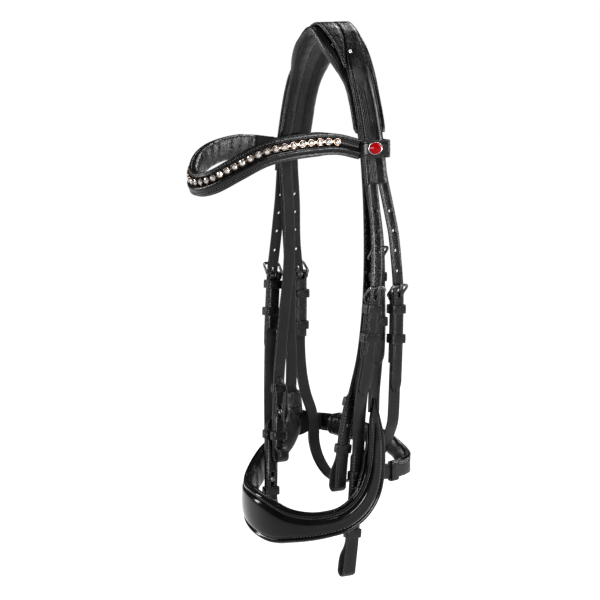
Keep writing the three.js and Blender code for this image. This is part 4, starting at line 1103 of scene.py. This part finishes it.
def cheekpiece(name, side):
    sign = side["sign"]
    cheek = CHEEKS[name]
    bar = CHEEK_BARS[name]
    place = cheek.frames(ALONG_Y, bar)
    upper, lower = side["cheek_lower"]
    line = Line([
        *folded_top(cheek, ALONG_Y, bar, 62),
        *cheek.beside(ALONG_Y, 0, bar + BELOW_FOLD / cheek.length, 1, 9),
        *turned_back(cheek, side["cheek_turnback"], lower),
    ])
    share = 9 / line.length
    piece = strap(
        f"{name}_cheekpiece_detail", line, square_to(place, ALONG_Y),
        lambda u: CHEEK_WIDTH * blunt(1 - u, share), sign=sign,
    )
    cut(piece, [bar_slot(place, sign), *stud_holes(cheek.level(side["cheek_stud"]), sign)])
    keep(piece, f"{name}_cheekpiece")
    lows = (BY_FOLD, -TWO_DEEP - GAP)
    fastening(f"{name}_cheek", place, cheek.level, CHEEK_WIDTH, (-261, -289), lows, sign)
    doubled_end(
        f"{name}_cheek_lower", f"{name}_cheek_hook_stud", cheek, side, (upper, lower),
        side["cheek_stud"], (side["cheek_turnback"] - 2, lower + 3), CHEEK_WIDTH,
    )
    start, end = cheek.at_height(-256), cheek.at_height(-311)
    edge = CHEEK_WIDTH / 2 - SEAM_INSET
    edge_stitches(f"{name}_cheek_upper_stitches", cheek, ALONG_Y, start, end, edge, sign)


# ---- Slipheads ---------------------------------------------------------------------------------


def bradoon_half(name, side):
    """The bradoon sliphead's line from below the poll to its turned-back end."""
    bradoon = BRADOONS[name]
    return np.array([
        *bradoon.beside(ALONG_Y, 0, 0.06, 1, 12),
        *turned_back(bradoon, side["bradoon_turnback"], side["bradoon_lower"][1]),
    ])


def bradoon_sliphead():
    near, off = (bradoon_half(name, side) for name, side in SIDES.items())
    line = Line([*mirrored(off)[::-1], *BRADOON_POLL, *near])
    share = 8 / line.length
    piece = strap(
        "bradoon_sliphead_detail", line, ALONG_Y,
        lambda u: SLIPHEAD_WIDTH * blunt(np.minimum(u, 1 - u), share),
    )
    cutters = []
    for name, side in SIDES.items():
        cutters += stud_holes(BRADOONS[name].level(side["bradoon_stud"]), side["sign"])
    cut(piece, cutters)
    keep(piece, "bradoon_sliphead", "near_bradoon_end", "off_bradoon_end")
    for name, side in SIDES.items():
        lower = side["bradoon_lower"][1]
        doubled_end(
            f"{name}_bradoon", f"{name}_bradoon_hook_stud", BRADOONS[name], side,
            side["bradoon_lower"], side["bradoon_stud"],
            (side["bradoon_turnback"] - 2, lower - 4), SLIPHEAD_WIDTH,
        )


def noseband_sliphead():
    """From the off side of the noseband over the poll to the near buckle, and the part below it."""
    tip = HANGER.at_height(HANGER_TIP)
    rise_from, rise_to = HANGER.at_height(-150), HANGER.at_height(-196)

    def lift(u):
        return LAYER * ease(u, rise_from, rise_to)

    off = mirrored(HANGER.beside(ALONG_Y, 0, 0.06, 1, 9))[::-1]
    near = HANGER.beside(ALONG_Y, lift, 0.06, tip, 12)
    line = Line([*off, *HANGER_POLL, *near])
    share = 11 / line.length
    piece = strap(
        "noseband_sliphead_detail", line, ALONG_Y,
        lambda u: SLIPHEAD_WIDTH * pointed(u, share), tip_stations(line, share),
    )
    place = HANGER.frames(ALONG_Y, HANGER_BAR)
    cutters = [tongue_hole(place)]
    for z in (-160, -177, -230, -247):
        u = HANGER.at_height(z)
        cutters.append(punch(HANGER.frames(ALONG_Y, u), HOLE_RADIUS, 0, float(lift(u))))
    cut(piece, cutters)
    keep(piece, "noseband_sliphead")

    down = HANGER.beside(ALONG_Y, 0, HANGER_BAR + BELOW_FOLD / HANGER.length, 1, 8)
    lower = Line([*folded_top(HANGER, ALONG_Y, HANGER_BAR, 50), *down])
    piece = strap("noseband_hanger_strap_detail", lower, square_to(place, ALONG_Y), SLIPHEAD_WIDTH)
    cut(piece, [bar_slot(place)])
    keep(piece, "noseband_hanger_strap")
    lows = (-TWO_DEEP - GAP, -STRAP / 2)
    fastening("noseband_hanger", place, HANGER.level, SLIPHEAD_WIDTH, (-232, -276), lows)


# ---- Throatlatch -------------------------------------------------------------------------------


def throat_level(z):
    return THROAT.level(z, THROAT_DOWN)


def throatlatch():
    half = np.array([
        *folded_top(THROAT, ALONG_Y, THROAT_BAR, 70),
        *THROAT.beside(ALONG_Y, 0, THROAT_BAR + BELOW_FOLD / THROAT.length, 1, 14),
    ])
    line = Line([*mirrored(half[:-1]), *half[::-1]])
    piece = strap("throatlatch_detail", line, -ALONG_Y, THROAT_WIDTH)
    place = THROAT.frames(ALONG_Y, THROAT_BAR)
    cut(piece, [bar_slot(place, sign) for sign in (1, -1)])
    keep(piece, "throatlatch")
    start, end = (THROAT.at_height(z, THROAT_DOWN) for z in (-256, -319))
    edge = THROAT_WIDTH / 2 - SEAM_INSET
    lows = (BY_FOLD, -TWO_DEEP - GAP)
    for name, side in SIDES.items():
        sign, heights = side["sign"], side["throat_keepers"]
        fastening(f"{name}_throat", place, throat_level, THROAT_WIDTH, heights, lows, sign)
        edge_stitches(f"{name}_throat_stitches", THROAT, ALONG_Y, start, end, edge, sign)


# ---- Browband ----------------------------------------------------------------------------------

BROW_FRONT = 2.6
BROW_PAD = 7
# How far the stones' row lies above the browband's middle.
BROW_STONES = 2.6


def brow_width(u):
    return 21.6 - 2.2 * ease(np.abs(2 * u - 1), 0.72, 0.95)


def browband():
    """A leather front: stones sunk above the middle, a rolled ridge below, and stitched edges."""
    upper = [
        (1, -0.7, -1, 0), (1, -0.2, -1, 0.2), (1, 0, -1, 0.7), (1, 0, 1, -0.7), (1, -0.25, 1, -0.1),
        (1, -0.8, 1, 0.2), (1, -1.7, 1, 0.1), (1, -2.3, 1, 0.1), (1, -3.0, 1, 0.65),
        (1, -3.7, 1, 0.6), (1, -4.3, 1, -0.1), (1, -4.8, 1, -0.6), (1, -8, 1, -0.7),
    ]
    ridge = [
        (-1, 9.9, 1, -0.6), (-1, 9.3, 1, 0.2), (-1, 8.5, 1, 1.35), (-1, 7.4, 1, 2.15),
        (-1, 6.2, 1, 2.35), (-1, 5.0, 1, 2.05), (-1, 4.0, 1, 1.2), (-1, 3.3, 1, 0.25),
        (-1, 2.7, 1, 0.0), (-1, 1.8, 1, 0.1),
    ]
    lower = [(-a, -b, c, d) for a, b, c, d in reversed(upper[:6])]
    template = [(-0.4, 0, -1, 0), (0.4, 0, -1, 0), *upper, *ridge, *lower]
    u = np.linspace(0, 1, 240)
    places = BROW_LINE.frames(ALONG_Z, u)
    section = spread(template, brow_width(u), np.full(len(u), BROW_FRONT), corner=9)
    # The browband's edges take the lighter edge colour: wear, and a painted highlight.
    wear_and_highlight = [0, 0, 1, 1, 1, 1, 1, 0.5, *[0] * (len(template) - 14), 0.5, 1, 1, 1, 1, 1]
    parts = [1, 1, *[0] * (len(template) - 3), 1]
    piece = sweep("browband_detail", places, section, LEATHERS, parts, wear_and_highlight)
    keep(piece, "browband")
    edge_stitches(
        "browband_stitches", BROW_LINE, ALONG_Z, 0.01, 0.99, lambda v: brow_width(v) / 2 - 2.0,
        outward=1.3, pitch=2.8,
    )

    outward = -BROW_FRONT / 2 - 2 * GAP - BROW_PAD * 0.3
    line = Line(BROW_LINE.beside(ALONG_Z, outward, 0.07, 0.93, 60), 8)
    piece = puffed_band(
        "browband_lining_detail", line, ALONG_Z,
        lambda v: 23.6 * (1 - 0.16 * ease(np.abs(2 * v - 1), 0.85, 1)), BROW_PAD,
    )
    keep(piece, "browband_lining", slot="padded_lining")


def puffed_band(name, line, across, width, thick, shrink=lambda u: 1.0):
    """A stuffed lining: flat against its leather, piped at the edges and full towards the horse."""
    turns = np.linspace(math.pi, 2 * math.pi, 15)
    inner = [
        (math.copysign(abs(math.cos(a)) ** 0.55, math.cos(a)), 0.7 * math.sin(a)) for a in turns
    ]
    outer = [(1.0, 0.12), (0.985, 0.24), (0.95, 0.3), (0.9, 0.3), (0.5, 0.3), (0, 0.3)]
    left = [(-x, y) for x, y in reversed(outer[:-1])]
    outline = np.array([*inner[1:-1], (1, -0.02), *outer, *left, (-1, -0.02)])
    u = np.linspace(0, 1, int(line.length / 1.7))
    places = line.frames(across, u)
    wide = (width(u) / 2)[:, None]
    section = np.repeat(outline[None], len(u), axis=0)
    along = (u * line.length)[:, None]
    depth = np.clip(-section[:, :, 1], 0, 0.7) / 0.7
    ripple = 0.045 * np.sin(along / 2.1 + section[:, :, 0] * 2) + 0.05 * np.sin(along / 6.1)
    section[:, :, 1] += depth * ripple
    ends = np.sqrt(np.clip(np.minimum(u, 1 - u) * line.length / 5, 0.15, 1))[:, None]
    section[:, :, 1] *= thick * ends * np.broadcast_to(shrink(u), len(u))[:, None]
    section[:, :, 0] *= wide * mix(0.9, 1, ends)
    piece = sweep(name, places, section, [SOFT])
    return piece


def browband_loop(name, side):
    """The leather loop that the crown and its slipheads pass through, and its round stud."""
    sign, z = side["sign"], side["loop_height"]
    x0, x1, y0, y1 = 69.4, 90.4, -20.4, 11.2
    outline = rounded([(x0, y0), (x1, y0), (x1, y1), (x0, y1)], 5, 8)
    path = np.array([(x, y, z) for x, y in outline])
    tangent = np.roll(path, -1, axis=0) - np.roll(path, 1, axis=0)
    places = Frames(path, np.broadcast_to(ALONG_Z, path.shape), tangent)
    section = spread(STRAP_SECTION, np.full(len(path), 17.0), 2.4)
    name_of_loop = f"{name}_browband_loop"
    piece = sweep(name_of_loop, places, section, LEATHERS, STRAP_PARTS, STRAP_WEAR_AND_HIGHLIGHT, sign, True)
    keep(piece)
    face = Frames(np.array([[91.6 + GAP, -7.6, z + 1.2]]), ALONG_Y[None], -ALONG_Z[None])
    profile = [
        (0, 0), (6.5, 0), (6.62, 0.5), (6.55, 1.15), (6.3, 1.4), (6.1, 1.35), (6.0, 1.1),
        (5.8, 1.35), (4.6, 2.1), (2.6, 2.75), (0, 3),
    ]
    parts = [0, 0, 0, 0, 0, 0, 1, 1, 1, 1]
    stud = lathe(
        f"{name}_browband_stud_detail", face, profile, [BRIGHT, ENAMEL], 48, sign, parts=parts,
        oval=(1.2, 0.93),
    )
    keep(stud, f"{name}_browband_stud", slot="red_enamel_stud")


def add_rings(points, faces, place, rings, sides):
    """Rings of (radius, outward, half a step round) about one place, capped at both ends."""
    first = len(points)
    for r, h, half in rings:
        for j in range(sides):
            turn = 2 * math.pi * (j + half) / sides
            points.append(place.put(r * math.cos(turn), h, r * math.sin(turn))[0])
    for i in range(len(rings) - 1):
        low, high = first + i * sides, first + (i + 1) * sides
        for j in range(sides):
            a, b, c, d = low + j, low + (j + 1) % sides, high + (j + 1) % sides, high + j
            if rings[i + 1][2] > rings[i][2]:
                faces += [(a, d, b), (b, d, c)]
            elif rings[i + 1][2] < rings[i][2]:
                faces += [(a, d, c), (a, c, b)]
            else:
                faces.append((a, d, c, b))
    faces.append(tuple(first + j for j in range(sides)))
    last = first + (len(rings) - 1) * sides
    faces.append(tuple(last + j for j in reversed(range(sides))))


def add_bar(points, faces, squares):
    """A bar through squares of four corners, turned so that its faces look outward."""
    first = len(points)
    points.extend(corner for square in squares for corner in square)
    for i in range(len(squares) - 1):
        low, high = first + 4 * i, first + 4 * (i + 1)
        for j in range(4):
            after = (j + 1) % 4
            faces.append((low + j, low + after, high + after, high + j))
    last = first + 4 * (len(squares) - 1)
    faces.append((first + 3, first + 2, first + 1, first))
    faces.append((last, last + 1, last + 2, last + 3))


def claw(place, turn, girdle):
    """The squares of one claw, from the cup's side up over the stone's girdle."""
    p, s, n, t = place.p[0], place.s[0], place.n[0], place.t[0]
    spoke = s * math.cos(turn) + t * math.sin(turn)
    side = np.cross(n, spoke)
    stages = ((3.28, girdle - 0.7, 0.45), (3.34, girdle + 0.3, 0.38), (2.6, girdle + 0.85, 0.22))
    return [
        [
            p + spoke * (reach + lift * 0.6) + side * a + n * (rise + lift)
            for a, lift in ((-half, 0), (half, 0), (half, 0.35), (-half, 0.35))
        ]
        for reach, rise, half in stages
    ]


def link(start, end, base):
    """The squares at the two ends of the link between two cups."""
    run = unit(end.p[0] - start.p[0])
    corners = ((-0.75, 0.6), (0.75, 0.6), (0.75, 1.5), (-0.75, 1.5))
    return [
        [centre + start.s[0] * a + start.n[0] * (base + rise) for a, rise in corners]
        for centre in (start.p[0] + run * 3.1, end.p[0] - run * 3.1)
    ]


def crystal_chain():
    """Cut stones in copper cups, each cup with four claws and a link to the next."""
    share = STONE_PITCH * (STONE_COUNT - 1) / BROW_LINE.length / 2
    row = BROW_LINE.frames(ALONG_Z, np.linspace(0.5 - share, 0.5 + share, STONE_COUNT))
    centres = row.put(BROW_STONES)
    places = [
        Frames(centres[k : k + 1], row.s[k : k + 1], row.t[k : k + 1]) for k in range(STONE_COUNT)
    ]
    base = BROW_FRONT / 2 - 0.65
    girdle = base + 2.1
    stone_rings = [
        (0.5, base + 0.4, 0), (2.85, girdle - 0.3, 0), (2.98, girdle, 0.5),
        (2.35, girdle + 0.85, 0), (1.45, girdle + 1.3, 0.5),
    ]
    cup_rings = [
        (2.6, base, 0), (3.1, base + 0.5, 0), (3.36, girdle - 0.4, 0), (3.32, girdle - 0.05, 0),
        (3.05, girdle - 0.05, 0), (2.95, girdle - 0.6, 0), (2.4, base + 0.5, 0),
    ]
    stones, stone_faces = [], []
    cups, cup_faces = [], []
    for place in places:
        add_rings(stones, stone_faces, place, stone_rings, 8)
        add_rings(cups, cup_faces, place, cup_rings, 20)
        for j in range(4):
            add_bar(cups, cup_faces, claw(place, math.pi * (0.25 + j / 2), girdle))
    for start, end in zip(places, places[1:]):
        add_bar(cups, cup_faces, link(start, end, base))
    piece = make("crystal_cups", cups, cup_faces, None, [COPPER], smooth=False)
    keep(piece, "crystal_chain", slot="crystal_in_copper_cups")
    piece = make("crystal_stones", stones, stone_faces, None, [STONE], smooth=False)
    keep(piece, slot="crystal_in_copper_cups")


# ---- Noseband ----------------------------------------------------------------------------------

NOSE_PAD = 6
NOSE_PAD_ENDS = (0.055, 0.945)
NOSE_LEATHER = 2.2
PANEL = (0.11, 0.945)
NOSE_ROLL = 4.6


def noseband():
    u = NOSE_LINE.stations(step=1.8, turn=0.12)
    backing = Line(NOSE_LINE.beside(across_nose, NOSE_LEATHER / 2, 0, 1, 60), 8)
    half = [
        (1, -0.7, -1, 0), (1, -0.15, -1, 0.3), (1, 0, -1, 0.8), (1, 0, 1, -0.5),
        (1, -0.35, 1, 0.35),
        (1, -1.1, 1, 1.05), (1, -2.1, 1, 1.35), (1, -3.1, 1, 1.1), (1, -3.9, 1, 0.4),
        (1, -NOSE_ROLL, 1, -0.25), (1, -NOSE_ROLL - 0.8, 1, -0.1),
    ]
    other = [(-a, -b, c, d) for a, b, c, d in reversed(half)]
    template = [(-0.4, 0, -1, 0), (0.4, 0, -1, 0), *half, (0, 0, 1, 0), *other]
    width = nose_half(u) * 2
    section = spread(template, width, np.full(len(u), NOSE_LEATHER), corner=10)
    parts = [1, 1, *[0] * (len(template) - 3), 1]
    places = backing.frames(across_nose, u)
    piece = sweep("noseband_detail", places, section, [PATENT, FLESH], parts)
    keep(piece, "noseband", slot="patent_leather")

    crank = NOSE_LINE.nearest((NOSE[0], 0, -425))

    def pad_outward(v):
        over = (LAYER + GAP) * (1 - ease(np.abs(v - crank) * NOSE_LINE.length, 12, 26))
        return -3 * GAP - NOSE_PAD * 0.3 - over

    line = Line(NOSE_LINE.beside(across_nose, pad_outward, *NOSE_PAD_ENDS, 60), 8)
    piece = puffed_band(
        "noseband_lining_detail", line, across_nose,
        lambda v: (nose_half(mix(*NOSE_PAD_ENDS, v)) + 0.9) * 2, NOSE_PAD,
        lambda v: mix(1, 0.5, ease(np.abs(2 * v - 1), 0.88, 0.97)),
    )
    keep(piece, "noseband_lining", slot="padded_lining")


def noseband_panel():
    """The domed patent panel, with a stitched seam all round it."""
    start, end = PANEL
    line = Line(NOSE_LINE.beside(across_nose, NOSE_LEATHER + 0.15, start, end, 60), 8)
    turns = np.linspace(0, math.pi, 15)
    dome = [
        (math.cos(a) * (0.97 + 0.03 * abs(math.cos(a))), 0.22 + 0.78 * math.sin(a) ** 0.8)
        for a in turns
    ]
    outline = np.array([(-0.98, 0), (0, 0), (0.98, 0), *dome])
    middle = np.linspace(0.06, 0.94, 200)[1:-1]
    u = np.concatenate([np.linspace(0, 0.06, 14), middle, np.linspace(0.94, 1, 14)])
    tipped = np.maximum(np.sqrt(np.clip(np.minimum(u, 1 - u) / 0.045, 0, 1)), 0.1)
    half = np.maximum(nose_half(mix(start, end, u)) - NOSE_ROLL - 1.1, 0.5) * tipped
    section = np.repeat(outline[None], len(u), axis=0)
    section[:, :, 0] *= half[:, None]
    section[:, :, 1] *= (3.4 * (0.3 + 0.7 * tipped))[:, None]
    piece = sweep("noseband_patent_panel_detail", line.frames(across_nose, u), section, [PATENT])
    keep(piece, "noseband_patent_panel", slot="patent_leather")
    edge_stitches(
        "noseband_stitches", NOSE_LINE, across_nose, 0.09, 0.955,
        lambda v: nose_half(v) - NOSE_ROLL * np.minimum(1, nose_half(v) / 10) - 0.1,
        outward=NOSE_LEATHER - 0.1, pitch=2.9, slot="patent_leather",
    )


# ---- Jaw strap and crank -----------------------------------------------------------------------


def jaw_share(distance):
    return distance / JAW.length


def crank_strap():
    end = CRANK_BAR + jaw_share(42)
    rise = (CRANK_BAR - jaw_share(62), CRANK_BAR - jaw_share(26))

    def lift(u):
        return LAYER * ease(u, *rise)

    line = Line(JAW.beside(ALONG_Z, lift, 0, end, 26))
    share = 11 / line.length
    piece = strap(
        "crank_strap_detail", line, ALONG_Z, lambda u: CRANK_WIDTH * pointed(u, share),
        tip_stations(line, share),
    )
    cutters = [tongue_hole(JAW.frames(ALONG_Z, CRANK_BAR))]
    for distance in (-40, -24):
        u = CRANK_BAR + jaw_share(distance)
        cutters.append(punch(JAW.frames(ALONG_Z, u), HOLE_RADIUS, 0, float(lift(u))))
    cut(piece, cutters)
    keep(piece, "crank_strap")


def jaw_strap():
    place = JAW.frames(ALONG_Z, CRANK_BAR)
    line = Line([
        *folded_top(JAW, ALONG_Z, CRANK_BAR, 46),
        *JAW.beside(ALONG_Z, 0, CRANK_BAR + jaw_share(BELOW_FOLD), 1, 12),
    ])
    flap_from = 1 - 34 / line.length

    def width(u):
        flap = 1 + 0.55 * ease(u, flap_from, mix(flap_from, 1, 0.5))
        into = np.clip((u - 0.94) / 0.06, 0, 1)
        return JAW_STRAP_WIDTH * flap * np.sqrt(1 - into * into * 0.8)

    piece = strap("jaw_strap_detail", line, square_to(place, ALONG_Z), width)
    cut(piece, [bar_slot(place)])
    keep(piece, "jaw_strap")
    start = CRANK_BAR + jaw_share(13)
    edge_stitches("jaw_strap_stitches", JAW, ALONG_Z, start, 0.9, JAW_STRAP_WIDTH / 2 - 1.8)


def jaw_pad():
    start, end = JAW.nearest((73.6, 37, -428)), JAW.nearest((-57, 36, -405))
    corner = JAW.nearest((64, 51.5, -424))

    def inward(u):
        distance = (u - CRANK_BAR) * JAW.length
        under = (LAYER + GAP) * (1 - ease(distance, 46, 56)) * ease(distance, -30, -16)
        under = under + 0.8 * (1 - ease(np.abs(u - corner) * JAW.length, 14, 26))
        bar = 3.6 * (1 - ease(np.abs(distance - BAR_DROP), 12, 24))
        loop = 2.3 * (1 - ease(np.abs(distance - 24), 5, 14))
        return -(STRAP / 2 + 2 * GAP + under + np.maximum(bar, loop) + JAW_PAD * 0.3)

    line = Line(JAW.beside(ALONG_Z, inward, start, end, 60), 8)

    def width(u):
        round_end = np.sqrt(np.clip(np.minimum(u, 1 - u) / 0.04, 0, 1))
        return JAW_WIDTH * np.maximum(round_end, 0.35)

    piece = puffed_band("jaw_pad_detail", line, ALONG_Z, width, JAW_PAD)
    keep(piece, "jaw_pad", slot="padded_lining")


def jaw_fittings():
    place = JAW.frames(ALONG_Z, CRANK_BAR)
    buckle("crank_buckle", place, JAW_STRAP_WIDTH)
    tongue("crank_tongue", place)
    at = JAW.frames(ALONG_Z, CRANK_BAR + jaw_share(24))
    keeper("crank_keeper", at, JAW_STRAP_WIDTH, -TWO_DEEP - GAP, TWO_DEEP)
    corner = JAW.frames(ALONG_Z, JAW.nearest((76.4, 24, -428)))
    low, high = -STRAP / 2, STRAP / 2
    keeper("crank_near_runner", corner, CRANK_WIDTH, low, high, slack=SLACK, height=10, wall=1.8)


# ---- Floor, lights and camera --------------------------------------------------------------------


SOFTBOXES = (
    # name, azimuth, elevation, distance, width, height, power
    ("top", 60, 66, 1.8, 0.9, 0.4, 26),
    ("streak", 88, 7, 1.8, 1.0, 0.34, 62),
    ("side", 160, 20, 1.9, 0.28, 1.4, 36),
    ("far", -42, 20, 2.0, 0.28, 1.3, 36),
    ("back", 215, 40, 2.0, 0.4, 0.6, 14),
)


def stand(name, data, azimuth, elevation, distance, target):
    """Places a light or camera round a target, turned to face it. Angles run from the front."""
    a, e = math.radians(azimuth), math.radians(elevation)
    back = Vector((math.sin(a) * math.cos(e), -math.cos(a) * math.cos(e), math.sin(e)))
    thing = bpy.data.objects.new(name, data)
    thing.location = Vector(target) + back * distance
    thing.rotation_mode = "QUATERNION"
    thing.rotation_quaternion = (-back).to_track_quat("-Z", "Y")
    bpy.context.scene.collection.objects.link(thing)
    return thing


def studio():
    """A pale floor, a dim even world and soft lights."""
    reach, height = 40000, -610
    corners = [(-reach, -reach), (reach, -reach), (reach, reach), (-reach, reach)]
    floor = make("floor", [(x, y, height) for x, y in corners], [(0, 1, 2, 3)], smooth=False)
    paint = bpy.data.materials.new("pale_floor")
    paint.use_nodes = True
    shader = paint.node_tree.nodes["Principled BSDF"]
    shader.inputs["Base Color"].default_value = (0.2, 0.2, 0.2, 1)
    shader.inputs["Roughness"].default_value = 0.9
    shader.inputs["Emission Color"].default_value = (1, 1, 1, 1)
    shader.inputs["Emission Strength"].default_value = 1.0
    floor.data.materials.append(paint)
    world = bpy.data.worlds.new("studio")
    bpy.context.scene.world = world
    world.use_nodes = True
    background = world.node_tree.nodes["Background"]
    background.inputs["Color"].default_value = (1, 1, 1, 1)
    background.inputs["Strength"].default_value = 0.05
    for name, azimuth, elevation, distance, wide, high, power in SOFTBOXES:
        light = bpy.data.lights.new(name, "AREA")
        light.energy = power
        light.shape = "RECTANGLE"
        light.size = wide
        light.size_y = high
        stand(name, light, azimuth, elevation, distance, (0, -0.03, -0.26))


def camera():
    """Near side, sixty degrees round from the front, a little above the bridle's middle."""
    data = bpy.data.cameras.new("camera")
    data.sensor_width = 36
    data.lens = 142
    data.clip_end = 200
    eye = stand("camera", data, 60, 8.45, 2.37, (-0.016, -0.028, -0.266))
    bpy.context.scene.camera = eye
    bpy.context.scene.view_settings.view_transform = "Standard"


camera()
studio()
crown_pad()
crown_cover()
crown_strap()
crown_rivet()
browband()
crystal_chain()
for side_name, side in SIDES.items():
    browband_loop(side_name, side)
    cheekpiece(side_name, side)
bradoon_sliphead()
noseband_sliphead()
throatlatch()
noseband()
noseband_panel()
crank_strap()
jaw_strap()
jaw_pad()
jaw_fittings()
